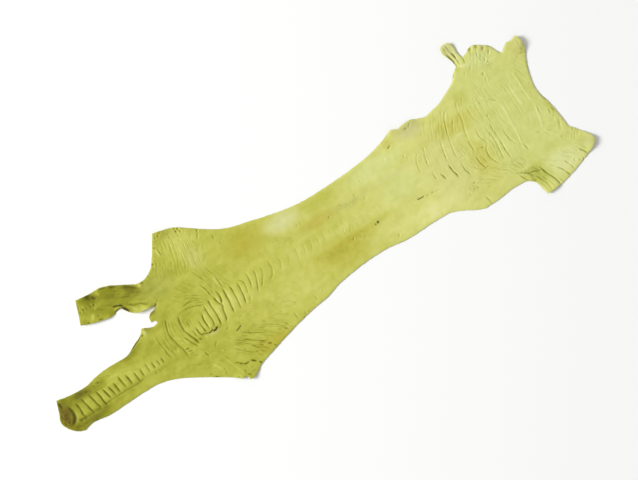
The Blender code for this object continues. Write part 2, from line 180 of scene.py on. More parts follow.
# The cut edge, anticlockwise from above. Each stretch is one smooth curve, and its ends are corners.
CUT_EDGE = {name: route_of(run) for name, run in rows_of("""
claw end: -341,-7 -346,-20 -350,-33 -345.5,-43 -338,-50.6 -331,-53.6
long toe, outer side: -331,-53.6 -320,-51 -300,-53.5 -262,-52.7 -228,-53.6 -212,-58.3 -190,-69.4
  -169.5,-82 -155,-91.2 -144,-99.7
lower flap, torn tip: -144,-99.7 -140.5,-98.8 -138,-101.2 -137,-104.8
lower flap to shank: -137,-104.8 -133.5,-105.4 -127,-103.4 -116,-96.7 -108,-94.2 -90,-88.9 -62,-81.2
  -30,-74.3 -8,-71 8,-65.6
shank, lower side: 8,-65.6 25,-63.1 62,-60.2 80,-60.6 98,-63.4 150,-63.2 162,-64.2 178,-70.9 191,-78.2
  200,-81.4
hock, lower side: 200,-81.4 215,-81 243,-78.7 260,-81.9 265.2,-87.2 268,-97 269.8,-105.4
hock flap: 269.8,-105.4 284,-104.6 303,-101 322,-94.6 338,-88.7 346,-84.2 350,-78.5 346.6,-70.7
  338.4,-59.6 331.5,-51
hock end: 331.5,-51 329.8,-33 326,-12 322.3,2 323.9,19 330.6,40 337.1,56 337,64 335.3,69.4
hock ear: 335.3,69.4 332.5,70.2 328,68.3 321.5,69.2
hock notch: 321.5,69.2 315.5,65 310,61.8 306.8,67 302.5,76 294,82.5 287.5,86.8 280.5,86.3 274.5,82.6
  269,81.2
strip: 269,81.2 267.2,88 266.8,98 264.2,103.8 258.5,105.4 253.2,103.8 251.4,99 254,91 256.8,82.5
  257.2,76
hock, upper side: 257.2,76 248.5,69 243.5,63 232,56.7 218,50.3 206,47.6 195,45.9 187.5,48.6 180,51.7
  169,52 161,50.8 154,54
shank, upper side: 154,54 140,48.8 118,42.8 95,40 50,37.7 20,38.2 0,41 -22,46 -45,52 -66,57.5 -82,65.5
  -97.5,76 -109,84.5 -120,91.8 -133,95.8 -144,98.5
upper flap, toe side: -144,98.5 -149.5,90.5 -160,74.5 -168,64.8 -177,59.5 -186,58 -191.5,58.8
short toe, upper side: -191.5,58.8 -205,66.3 -219,73.8 -229,77.3 -245,77.8 -261,80
short toe, end: -261,80 -266,66 -271,52
short toe, lower side: -271,52 -262,48.4 -249,44.6 -240,42.6 -231,42
short toe, pinch: -231,42 -226,44.4 -221,45
short toe, lip: -221,45 -217.5,39.5 -212.5,33.2 -205,29 -196,27.8 -185.3,25.3
torn web: -185.3,25.3 -189,23 -195.5,20.8 -199.3,16.5 -199.6,11.8
torn web, notch: -199.6,11.8 -196.5,11.6 -193.8,8 -197.5,6.4 -205,8 -213,11.6
long toe, inner side: -213,11.6 -217,7 -230,0.4 -244,-6.3 -253,-6.6 -272,-6.2 -288,-7.8 -303,-11
  -318,-11 -331,-9.2 -341,-7
""")}

# The low ridges that carry the plates, and the hollow where the claw sat.
PLATE_BANDS = (
    Crease(8.5, -1.15, ((-334, -31), (-300, -31.5), (-260, -31), (-225, -31.5), (-200, -32))),
    Crease(13.0, -0.9, ((-172, -22), (-150, -20), (-125, -16), (-98, -14), (-70, -10), (-40, -8), (-10, -9))),
)
CLAW_DISH = Crease(5.5, 0.6, ((-344, -27), (-341, -35)))

LONG_TOE_SEAMS = crease_table("""
1.5 1.0: -333.4,-20.5 -332.6,-29 -333.6,-35 -336.5,-38.5 -339.5,-40.5
1.7 0.97: -324.5,-21 -323.5,-32 -323.5,-38 -321.5,-41
1.6 0.88: -316.5,-19 -314.3,-30 -313,-37 -311,-41
1.6 0.88: -306.5,-20 -304,-31 -303,-36 -301,-41
1.5 0.88: -297.5,-21 -295.5,-31 -295,-37 -293.5,-44
1.5 1.06: -289.3,-23 -287.5,-32 -286,-39
1.4 0.88: -282,-24 -280.5,-32 -279,-39
1.4 0.88: -275,-23 -274,-31 -273.2,-39
1.4 0.79: -266.7,-20 -265.3,-30 -264.3,-38
1.4 0.88: -258,-23.5 -257,-31 -255.7,-39
1.6 0.97: -248,-25.5 -247.5,-33 -246.5,-40
1.4 0.84: -240,-25.5 -239.8,-38.5
1.4 0.84: -232,-25 -231.5,-31 -231,-37.5
1.4 0.79: -224.6,-27 -224,-36.5
1.3 0.7: -218.2,-27.5 -217.6,-36.5
1.3 0.7: -212.5,-28.5 -212,-36.5
1.1 0.35: -197,-27 -196.5,-33
1.1 0.35: -192,-27 -191.5,-33
""", plump=0.4)
LONG_TOE_CREASES = crease_table("""
2.6 0.7: -341.7,-9 -340.8,-15 -340,-20
2.6 1.3: -334,-21 -332.6,-30 -334,-36 -336.5,-39 -341,-41
1.6 0.6: -346,-26
1.6 0.6: -346.2,-36
1.4 0.5: -341,-36
2.0 -0.4: -347,-31
2.0 -0.4: -340.5,-45
1.3 0.5: -331,-40 -327,-42
3.2 0.3: -331,-41 -322,-42 -312,-41.5 -299,-41.2
2.4 0.4: -328,-42
2.4 0.5: -322,-41
2.6 0.5: -311.5,-40.8
2.2 0.4: -302,-41
1.4 0.35: -297,-40.6 -282,-40 -268,-39.8 -255,-40.4 -241,-39.4
1.8 0.3: -300,-21.5 -290,-22.3 -280,-22
2.4 -0.25: -283,-18.5 -270,-18 -262,-18.5
0.9 0.2: -262,-19 -250,-22 -243,-25.5 -230,-27.5
0.9 0.3: -226,-38 -226.5,-44
0.9 0.3: -221,-38 -220.5,-43.5
0.9 0.25: -217.5,-38 -217.5,-43
2.0 -0.3: -207,-4 -207,-14
1.4 0.25: -314,-14.5 -312,-15.5
1.4 0.25: -307,-16.5 -305,-17.3
1.5 0.6: -291,-14.5 -289,-15.5
1.5 0.36: -286.5,-15.5
1.0 0.35: -299,-14 -294,-17
1.0 0.3: -321,-15 -318,-19
1.0 0.3: -277,-13 -273,-16
1.3 0.6: -247,-7.6 -232,-1.2 -217,5
1.2 0.5: -211,10 -203,6.8
2.6 -0.8: -213.3,8.5 -212.3,3
1.8 0.7: -218.5,5.5 -216.3,3
1.2 0.4: -205.7,-6 -204,-20 -203,-30 -201,-38
0.9 0.3: -336,-46 -328,-49.5
0.9 0.3: -330,-46 -322,-48.5
""")
JOINT_SEAMS = crease_table("""
1.4 0.6: -184.5,7 -188.5,-3 -190.2,-12 -189.2,-20 -187,-28 -184.5,-38 -184,-46
1.2 0.35: -189.8,-15 -187,-28 -184.5,-38 -184,-44
1.4 0.85: -170,2 -172.6,-7 -173,-15 -170,-25 -167,-33 -165.5,-39
0.94 0.67: -177.3,-22 -174,-30 -170,-38 -168,-42
1.08 0.68: -165.3,-20 -163,-31
1.1 0.62: -163,-33 -160,-37
1.23 0.71: -159.3,-19 -158,-31 -155.5,-34
1.26 0.83: -153,-14 -152.5,-24 -152,-33
1.26 0.83: -145.5,-9 -147,-20 -146.5,-31
1.29 0.82: -138.5,-4 -139,-15 -138.5,-25 -140,-31.5
1.28 0.88: -131.5,1 -131,-15 -131.5,-28 -133,-34
1.42 0.95: -124.3,0 -122,-10 -120,-14.5 -122,-22 -123.5,-29 -126,-34
1.4 0.93: -117,4 -117.3,-9 -119.5,-14.5
1.38 0.89: -109.5,2 -110.5,-15 -112.5,-30
1.29 0.84: -101,1 -101,-15 -103,-30
1.26 0.75: -91,-1 -92.5,-15 -95.3,-29
1.2 0.62: -89,1 -84.5,-6.5 -85.5,-13 -87,-19
1.2 0.62: -86,-22 -90,-28.5
1.3 0.57: -77.3,4 -77.5,-5 -80,-17
1.1 0.58: -67,1 -69,-7 -73,-17 -76,-25
1.1 0.52: -59,1 -59.5,-6 -64,-14 -70,-22
1.2 0.47: -48,1 -48,-8 -52,-16 -57,-20
1.1 0.38: -37,0 -36,-6 -40,-17
1.1 0.22: -26,-1 -24.5,-6 -28,-17
1.1 0.22: -14,-2 -14,-9 -18,-20
1.1 0.2: -4,-2 -4,-9 -7,-18
1.1 0.2: 6,-3 5,-10 2,-18
1.1 0.2: 14,-2 14,-11 11,-19
1.1 0.18: 23,-4 22,-12 19,-19
""", plump=0.38)
JOINT_CREASES = crease_table("""
1.0 0.2: -187.5,8 -191.5,-2 -193.5,-12
0.9 0.3: -168,-42 -164.5,-51
1.2 0.4: -165,-50 -163,-57
1.0 0.4: -152.5,-52 -147,-46
0.9 0.5: -129.5,19.5 -126.5,12 -124.5,0
1.2 -0.28: -131.5,18 -128.7,10 -127,1
1.6 -0.5: -112,20 -110.8,10 -110.5,3
1.0 0.45: -109.3,19 -108.3,8 -108.3,1
1.2 0.4: -171,2.5 -160,3 -150,2 -142,-1.5 -136,-4
1.1 0.5: -162,7.5 -154,8.5 -148,8 -143,6.3 -138,3.5
1.0 0.4: -150,11 -145,9.8 -140,7.5 -135,4
0.9 0.4: -146,13.5 -141,11.5 -136,8 -133,5
0.9 0.35: -145,4.5 -140,2 -136,-1
1.0 0.4: -165,-9 -164.5,-17
0.9 0.3: -161.5,-8 -161,-16
0.8 0.25: -156,13.5 -147,12 -141,9
1.6 0.45: -131,-41.3 -127,-40.3
1.1 0.8: -184,-36 -178,-36.8
1.0 0.5: -182,-39.5 -176,-41.5
0.9 0.3: -181,-43 -176,-44.8
1.0 0.28: -183.5,2 -186,-8 -186.5,-18 -184.5,-25
1.0 0.25: -179,2 -181.5,-7 -182,-14
1.0 0.3: -199,-9 -199.5,-20 -197,-31 -194,-38
0.9 0.25: -194.5,-8 -195,-18 -193,-26
0.9 0.3: -179,-47 -173,-49.5
1.8 -0.35: -127.3,-11 -126.5,-20 -128,-30
1.7 -0.5: -120.8,-3 -120.5,-12
1.6 -0.35: -155,-24 -155,-30
1.6 -0.35: -144,-24 -143.5,-31
1.6 -0.35: -135,-27 -135,-33
1.6 -0.6: -179,-24 -176,-33
1.5 -0.5: -182.5,-26 -180,-31
1.6 -0.4: -154,-36
1.2 -0.3: -188,-16 -181,-24
1.5 -0.3: -192,-29 -191,-35
1.4 -0.3: -106,-4 -107.5,-20
1.4 -0.3: -96,-4 -97.5,-20
0.9 0.3: -111,-36 -106,-38.5
0.9 0.3: -118,-41 -112,-43.5
0.9 0.3: -102,-39 -96,-42
""")
SHANK_CREASES = crease_table("""
1.0 0.22: 32,-4 31,-11
1.0 0.2: 41,-4 43,-11
1.0 0.22: 50,-1 50,-8
1.0 0.22: 47,-13 44,-18
1.0 0.22: 56,-14 51,-22
1.0 0.18: 66,-16 62,-22
1.0 0.45: -54,-66 -52.5,-76
1.0 0.4: -43,-70.5 -42.5,-76.5
0.9 0.4: -37,-73.5
1.0 0.35: -24,-61 -22,-69
1.1 0.4: 3,18
1.1 0.4: 7,18
1.2 0.45: 39,6.5
1.1 0.4: -12,-62
1.0 0.4: -86.5,62 -87.3,55
1.0 0.4: -83,48.5
1.7 0.7: 138.5,36.5 141,37.7 144,39.3
1.2 0.5: 150,20.3
0.9 0.5: 147.5,-32.2 152,-33.3
1.0 0.6: 155.5,-33 157.8,-33.5
0.8 0.3: 159,-34 168,-35
1.0 0.35: 153,17.3
1.8 -0.4: 131.5,29.5
1.5 -0.3: 136.5,18.5
1.8 0.35: 98.5,-52.5 96,-57
1.2 0.4: 77.5,13
1.2 0.35: 86,3.5
1.2 0.3: 91.5,23.5
1.2 0.35: 55,12 59,9.5
1.2 0.3: 62,7.5 67,4.5
1.2 0.3: 44,-25 47,-27
1.3 0.4: 61,-27 66,-29
1.1 0.35: 51,-29.5 49.5,-31
1.1 0.3: 57,-32 61,-34.5
1.1 0.3: 65,-33 62,-36.5
1.2 0.5: 128,45.3 138,47.8 148,51
2.8 0.8: 169,47.5 168.8,45
1.5 0.4: 171.5,44.5 177,49.5
1.5 0.35: 153,-59 153.5,-62
""")
UPPER_FLAP_CREASES = crease_table("""
0.9 0.3: -132,57 -131,50 -134,42
1.3 0.32: -130,38 -127,32 -123,22 -120,17
0.9 0.15: -151,32 -145,25 -142,20
0.9 0.35: -114,34 -111,26 -108,20
0.9 0.2: -146,78 -145.5,70 -145,62
0.9 0.25: -136,81 -136,70
2.0 -0.5: -152.5,83 -150.5,70
1.8 -0.35: -164,67 -161.5,61
1.4 0.25: -150,89.5 -142.5,86.5
1.2 0.2: -149,86 -142,83
1.1 0.35: -150.3,84 -149.3,77 -148.3,69
1.5 0.8: -120.3,92 -120.3,90
1.44 0.77: -120.5,88.7 -120.5,84
1.0 0.4: -120.5,83 -120.5,79
1.7 0.64: -131,88 -128.5,88.3
1.53 0.48: -130.3,85
2.04 0.72: -116.8,88.3
1.6 0.6: -116,84.5
1.0 0.35: -122,76.5
2 0.42: -138.5,95 -136.5,95
1.5 0.6: -141,93
1.8 0.5: -145,94 -145,91.5
1.8 0.68: -153,84.5 -151,82
1.6 0.35: -160.5,74
1.9 0.68: -164.5,69.5 -162.5,67
1.2 0.45: -175,59.3
1.2 0.4: -184.5,58 -183.5,55
1.1 0.35: -178,58.5
0.9 -0.2: -119,79 -116,84.5
0.9 -0.2: -116,78 -113,83.5
0.9 -0.2: -113.5,77.5 -110.5,82.5
1.8 0.8: -98,75.5 -98.9,73.8
1.0 0.45: -99,73.5 -104,65
0.9 0.25: -107,77 -110,70
""")
LOWER_FLAP_CREASES = crease_table("""
1.1 0.65: -143,-79.3 -138,-82
1.5 0.86: -138.5,-82 -135,-85.3
1.9 0.76: -136,-85.3 -131,-87.3 -127,-87
1.35 0.95: -125.5,-86 -120,-91.3
1.53 0.86: -118.3,-93 -115.3,-96
1.26 0.86: -105,-72.7 -99,-77.5
1.35 0.81: -98,-79.5 -93.5,-83
1.26 0.78: -92.5,-84 -90.3,-88.8
1.4 0.54: -69,-70 -66,-75
1.2 0.32: -66,-75.5 -62,-80.5
1.4 0.54: -73,-75 -68,-79.5
1.2 0.54: -112.5,-76.5 -109,-80
1.2 0.54: -107,-76 -102.5,-80.5
1.1 0.38: -116,-80 -111.5,-84
1.1 0.38: -105,-80 -99,-87
1.1 0.32: -111,-81 -104,-88
1.1 0.27: -115,-84 -108,-91
1.1 0.38: -119,-62 -111,-68
1.0 0.54: -116,-72 -111,-76
1.2 0.27: -136,-49 -130.5,-54
1.0 0.38: -131,-61 -124,-65.5
1.0 0.38: -121,-60 -114,-65.5
1.6 -0.4: -166.5,-67 -162,-72 -158.5,-79
1.5 -0.35: -150,-69 -146,-78 -143,-86 -139.5,-97
1.7 0.38: -156,-79
1.7 0.38: -156.5,-83.5
1.6 0.38: -175,-74.5 -171,-77.3
1.6 0.65: -171,-80 -166,-84
1.4 0.43: -149,-94 -145,-98
1.5 0.54: -137.3,-92 -136.5,-95
1.2 0.54: -136,-97.5 -133,-102
2.0 -0.2: -130.5,-91
1.6 0.32: -129.5,-93.5 -126,-95
1.6 0.32: -132,-99 -125,-98.5
1.8 -0.4: -147,-59
1.4 0.38: -166,-50 -163,-58
1.2 0.38: -148,-66 -145.5,-72
1.0 0.32: -157.5,-66 -151,-73
1.0 0.32: -172,-62 -166,-66
1.0 0.32: -181,-58 -174,-61
""")
HOCK_CREASES = crease_table("""
1.2 0.34: 164,14 160.5,9 158.2,2 156.8,-9
1.4 0.41: 164,13.8
1.2 0.34: 175,18 172,9 169.5,2 169,-7
1.3 0.32: 174,16
1.3 0.32: 169.3,0.5
1.3 0.44: 168.3,-12 168.3,-18 169.3,-25
1.4 0.68: 175.7,-20 178.7,-29
1.2 0.41: 195.3,13 192,0 190,-12
1.6 0.85: 189.3,-15 190,-25 192.3,-35
1.1 0.34: 223,41 213,33 210,25 207,15
1.1 0.28: 207,15 204,3 202,-10 203,-16
1.3 0.49: 202,-21 203,-32 205.3,-41
1.1 0.41: 222,28 216,18 213,11
1.7 0.36: 231,31 230,20 226,8 224,-2
1.4 0.28: 240,41.5 235,41 232,35 231,30
1.3 0.44: 223.5,-2 223,-10 222.5,-21
1.2 0.53: 221,-23 222,-35 224.3,-43
0.9 0.36: 226,-25 229.3,-39
1.2 0.41: 237.5,3 237,-6 240.3,-17
1.1 0.28: 248,0 248.5,-8 249.5,-15
0.9 0.23: 226.5,-18.5 235,-20
0.9 0.16: 237,-7.5 247,-7
1.3 0.49: 238.3,-19 235,-27 234.5,-33 238,-42 241.5,-48
1.1 0.28: 242,29 242,15 246,4
1.1 0.21: 251.5,31 252,18 251.5,4
1.3 0.44: 254.7,1 254.6,-10 255,-20 254.4,-32 255.3,-49
1.4 0.28: 254.8,-24 254.3,-40
1.2 0.23: 257.7,37 258,27 257.6,16
1.6 0.32: 257.7,28 257.7,24
1.7 0.49: 257.7,9
1.2 0.36: 264,-15 265.2,-25 267,-33 269.8,-40
1.1 0.16: 267,40 266.5,30 267,22
1.3 0.32: 267,29
1.2 0.41: 268,24.5 272,21.5 276.5,16.5
1.4 -0.47: 276.3,17 278,8 278,0 276.7,-12 276.3,-28 273.7,-40
1.5 -0.34: 273.3,-40 273.3,-47
1.4 0.44: 276.5,-41 277.2,-51
2.2 0.72: 279,53
1.2 0.21: 279,48 277,41 276.5,33
1.2 0.28: 278.5,46
1.4 -0.44: 297.5,23 298,12 298.7,-3
1.6 -0.56: 308.8,37 309.2,22 309,9 311,-5
1.2 0.16: 311,33 311.5,18
1.5 -0.47: 311.5,-7 309,-20 306,-33 303.7,-39
1.3 0.32: 311.8,-13 311,-21
1.3 -0.34: 304,-39.5 311,-48 315.5,-56
0.9 0.32: 306,-41 312.5,-45
0.9 0.23: 303,-40 308,-52
1.1 0.28: 296.5,-17 296,-23
1.4 0.44: 296,-36.5 299.5,-40.5
2.0 0.36: 326,-36.5 321,-51
1.6 -0.39: 213.5,10.5 216,8 220,7 223.5,8.5
1.3 0.41: 201.5,-49.3 205,-49.6
1.1 0.49: 206,-50.7 212,-53
1.4 0.36: 216,-41 222,-42.3 230,-41.5
1.4 0.49: 322.7,-3 325,-12.5
1.3 0.49: 322,-21 321.5,-29
1.3 0.49: 325,-21.5 327.3,-28
1.2 0.44: 321,-32.3 324,-31.3
1.5 -0.34: 322,-36
1.4 -0.3: 317.7,-38.5
1.8 0.53: 317,-56.5 319,-58
1.3 0.49: 333.3,-56
1.1 0.32: 325,-55 328,-59
1.0 0.36: 329,-68.3 334,-60
0.9 0.28: 326.5,-66 331,-59.5
0.9 0.28: 334,-66 338,-61.5
1.4 0.41: 206.5,-69 209,-82
1.3 0.41: 306.3,20.5
1.2 0.32: 319,15.5
1.2 0.32: 314.5,6
1.2 0.32: 304.5,11.5 308.5,9.5
1.7 0.49: 233.2,-18 233.5,-21
1.3 0.41: 231,-50.5
1.2 0.32: 247,-26
1.1 0.32: 246.5,-23
1.2 0.36: 253.6,34
1.2 0.36: 247,28.5
1.2 0.32: 211,-31 215,-37 222,-42
0.9 0.21: 203,-17 213,-16
1.2 0.41: 204,-54 205,-58
1.2 0.36: 196,-53
1.2 0.36: 200,-55.5
1.6 0.41: 202,-49.5 205.5,-50.3
1.2 0.32: 192.5,-58
1.2 0.28: 243.3,43 240.5,37
1.2 0.41: 240.5,61 246,66 251.3,70.3
""")
HOCK_FLAP_CREASES = crease_table("""
1.2 0.59: 249,-65.5 257,-69.5 264,-73.5 270,-75 277,-79
1.3 0.68: 252,-69 256,-76.5 259.3,-83
1.8 0.5: 261,-81.3 267.3,-85.5
1.4 0.72: 278,-73 279.3,-80 281.5,-86 285,-93 287,-99 288.5,-105
1.8 0.45: 280,-82 283,-89
1.8 0.45: 286,-97 288,-104
1.3 0.5: 267,-79 272,-87 275,-95 276.3,-104
0.9 0.45: 258,-68.5 264,-74 268,-80
1.1 0.5: 271,-75.5 275.3,-82.5
0.9 0.41: 254,-66 262,-69.5 269,-71.5
0.9 0.36: 262,-77 266,-82
1.0 0.41: 274,-84 277.5,-92
1.2 0.54: 293.5,-83 298,-89 301,-95
1.8 0.81: 300.5,-93.5 303.7,-101.5
0.9 0.36: 288,-77 293.5,-83
1.3 0.5: 305,-81 308.3,-88 310.3,-94 311.5,-98.5
0.9 0.32: 312,-72.5 318,-77 321.5,-83
0.9 0.32: 311,-79 316,-84.5
1.4 0.77: 327.3,-79 331,-85 333.5,-90.5
0.9 0.36: 331,-77.5 335.5,-84
1.3 0.54: 316.5,-88
1.4 0.54: 322,-90.5
1.2 0.45: 326,-92
0.9 0.36: 290,-96 293,-103
""")
UPPER_LOBE_CREASES = crease_table("""
2.8 1.0: 281.3,86 280.2,84
1.2 0.32: 279.7,83 278.5,78.5
2.8 0.9: 289.3,85 288.3,83
0.9 0.32: 287,81 283,72
2.2 0.8: 302.3,77.3 300.8,75.3
1.2 0.36: 300,74 296.5,68.5
2.4 0.8: 295,78.3 293.7,76.5
1.0 0.32: 291.5,75 290,72
1.2 0.34: 274,70.5 267.5,63.5
1.1 0.32: 263,67 259.5,61.5
1.3 0.4: 285,69.3
1.5 0.48: 291.5,62
1.2 0.4: 290,66.3
1.1 0.32: 299.5,73 295.5,67.5
0.9 -0.3: 277,80.5 272,72.5
0.9 -0.3: 274.3,79.5 270.5,73.5
0.9 -0.25: 285,82 281,74
1.3 0.6: 268.9,82 268.5,78 267.3,73.5
""")
STRIP_CREASES = crease_table("""
2.3 1.61: 253.6,94 255.8,87 257.8,79
1.5 0.6: 258,77.5
1.0 0.3: 258.4,106 258.7,98 260,93
1.6 1.38: 260,93 261.2,88 261.8,84
1.1 0.5: 261.8,83 262.5,75.5
1.0 0.35: 255.7,102 256,98
1.6 -0.7: 257.5,105 257.7,97 259.3,90 260,80
2.4 -0.45: 264,104 265,92 265,79
2.4 -0.9: 258.5,75.3 265,72 272,70.3
""")
EAR_CREASES = crease_table("""
2.3 0.49: 332.5,54
1.2 0.33: 332,65.5 331.5,58
1.8 0.45: 326,50.5 333,48.8
1.8 0.2: 322,67 325,65.5
1.3 -0.35: 318,57.5
1.3 -0.35: 316,53.5
1.3 -0.35: 326,48
1.3 -0.35: 320.5,51.5
1.0 0.26: 330.5,40 325.5,27.5
""")
SHORT_TOE_CREASES = crease_table("""
2.2 0.9: -229,50.6 -225,49.6 -220.5,47.6 -217,45.3
1.8 -0.5: -228.5,46.8 -222,46
1.6 1.0: -231,43.3 -226,44.5 -221.5,45.5
2.7 1.2: -219,44.5 -217,40.5 -215.2,35
2.8 -0.8: -213.8,43.5 -209.5,37.5 -203.5,31.5
2.0 0.5: -213,44 -206,40 -199,37.3 -194,33 -190,31.3
3.2 0.42: -250,76.5 -243.5,73.5
2.2 0.9: -243.5,74 -240.7,68.5
1.7 0.5: -233,76.3 -222,73.3
1.8 0.6: -221.5,72.5 -212,68
3.0 0.6: -207,64 -200,60.5 -192,54
2.8 0.5: -188,57 -183,55.5
1.4 0.3: -209,56 -200,52.5 -190,48
1.4 0.25: -198,57 -190,52
1.2 0.2: -222,55 -212,53 -204,49.5
1.4 -0.2: -210,44.8 -200,40.3 -190,35.5
1.2 0.25: -197,37 -189,31.5
1.8 0.7: -187,25.5 -183,27.7
1.2 0.3: -183,28 -179,31.5
2.6 -0.7: -238,75.5 -234,70
2.8 -0.9: -191,58 -187.5,53.5
1.9 0.7: -250.5,46.7 -244,45
1.6 0.6: -264,49.7 -260,49
2.4 0.4: -247.7,51.5
1.6 0.6: -270,51.7
1.3 0.6: -264.7,68 -262.3,73
1.6 0.6: -264.5,65.5
1.8 0.6: -259.8,67.5 -259.5,64
1.1 0.4: -255.7,68 -255.3,62
1.5 0.5: -246,65
1.0 0.3: -251,70 -250,62
1.6 -0.5: -258.3,69.5
1.8 -0.5: -247,61
1.5 -0.45: -248.3,66.7
1.4 -0.4: -244.5,62
1.5 -0.4: -261.5,66
2.8 -0.7: -257,48.5 -252,56
1.1 0.3: -247,58 -238,54
1.1 0.4: -184.7,58
1.0 0.3: -232,68 -222,62 -213,57.5
""")
# The claw's bed and the rims of the flaps are among these, and so are single pits and knobs.
ALL_CREASES = (
    LONG_TOE_SEAMS + LONG_TOE_CREASES + JOINT_SEAMS + JOINT_CREASES + SHANK_CREASES + UPPER_FLAP_CREASES
    + LOWER_FLAP_CREASES + HOCK_CREASES + HOCK_FLAP_CREASES + UPPER_LOBE_CREASES + STRIP_CREASES
    + EAR_CREASES + SHORT_TOE_CREASES
)

# Old cuts and cracks that went deep into the skin, the small pits beside them, and last two lines of the
# short toe's deep fold.
# All are dyed near-black, which is painted shade: the dark inside the cuts and the shadow in the fold.
CUTS_AND_SHADED_FOLDS = crease_table("""
0.55 0.9: 137.5,-31 141,-31.7 144.5,-31.7
1.1 0.9: 84.8,-28.3
0.5 0.7: 81,-29
0.5 0.22: -157,-31.4 -154,-32.4 -150.5,-33
0.62 1.2: -149.6,-34.1 -147,-33.8 -144.6,-32.8
0.78 1.3: -143.6,-34.6 -141.6,-35 -138.2,-33.4
0.45 0.75: -120.3,-48.6 -117.4,-47.8 -114.8,-46.9
0.55 0.4: -228,50.2 -224,49.2 -219.5,47
0.75 0.5: -219.3,45 -217.5,41 -216.3,37.5
""")

# One field to a line: its patch, a colon, its heading, spacing and depth, and its fan and bow.
WRINKLE_FIELDS = tuple(WrinkleField(patch_of(place), *numbers(rest)) for place, rest in rows_of("""
-117,54 13,17: 83 2.4 0.42 0 0.25
-139,62 13,24: 74 2.7 0.36 0 0.35
-161,60 7,13: 68 3 0.24
-188,48 14,9: -30 2.5 0.28
-150,22 16,11: -46 2.5 0.34 -0.4
-122,20 8,17: -73 2.4 0.38 0 -0.3
-104,11 10,11: -65 2.5 0.32
-179,-8 6,20: -86 2.6 0.26 0 0.6
-150,1 15,8: -3 2.2 0.22 0 -0.9
-113,-68 21,14: -38 2.3 0.5 0.3
-82,-68 22,12: -36 2.3 0.44
-160,-60 19,12: -42 2.6 0.24 0 -0.3
-80,-42 22,7: -35 2.5 0.24
-51,-53 13,7: -35 2.3 0.28
-213,60 24,10: -31 2.6 0.34
-300,-15 26,5: -25 2.4 0.22
-290,-46 36,6: -20 2.6 0.2
55,-15 34,9: -62 4 0.18
206,28 27,16: 64 3 0.26 0 0.2
184,-5 20,20: 80 3.4 0.13 0 -0.3
214,-20 14,18: -84 3 0.26
225,-54 27,9: -36 2.3 0.36 -0.3
247,-26 8,18: 86 2.5 0.38
265,15 13,28: 92 3 0.22
268,-25 9,20: 92 3.2 0.18
258,-58 11,9: -62 2.3 0.38
291,43 11,22: -66 2.8 0.22 0 -0.35
293,8 12,18: -88 3.6 0.22
295,-72 17,9: -33 2.3 0.22
318,-78 16,10: -46 2.2 0.34
266,-77 12,9: -52 1.9 0.5
275,-95 9,11: -74 2.5 0.34
281,70 13,9: 60 2.5 0.2
318,33 9,14: -70 3 0.22
"""))

# Where the small round scales between and beside the plates stand highest.
SCALED_PATCHES = tuple(patch_of(place) for (place,) in rows_of("""
-28,11 19,8
38,-32 34,6
64,6 20,4
-69,-44 15,5
-112,-54 16,7
-143,-6 8,6
-257,64 8,8
-289,-15 6,3
-106,77 5,4
202,-54 8,4
258,-55 9,7
289,65 8,10
320,48 6,6
"""))

# One curl to a line: its reach and its height, a colon, and its line.
CURLS = tuple(Curl(*numbers(size), route_of(run)) for size, run in rows_of("""
7 5.5: -215,33 -204,26 -194,25
4 3: -221,46 -217,40
6 4: -240,39 -250,42 -258,45
7.5 4.5: -230,79 -222,77
7 3.5: -262,82 -254,80
6 3: -273,52 -268,50
5 -2.2: -197,16 -189,22
6 3: -214,13 -212,12
8 3.5: -351,-34 -345,-45
7 3.5: -343,-6 -338,-7
9 3.5: -135,-107 -142,-101
11 4: -146,101 -138,99
10 3: 254,106 262,107
7 2.5: 253,92 252,100
10 5: 338,71 338,62
10 4: 352,-79 347,-85
9 3: 271,-107 279,-107
9 2.5: 155,56 174,55
"""))

# How deep the dye is along the leg, from the claw to the hock end: 0 is the palest and 1 the darkest.
DYE_ALONG: Route = (
    (-350, 0.78), (-325, 0.74), (-295, 0.69), (-250, 0.63), (-200, 0.61), (-150, 0.58), (-100, 0.53),
    (-50, 0.46), (0, 0.40), (50, 0.37), (100, 0.28), (150, 0.22), (200, 0.26), (250, 0.27), (350, 0.28),
)
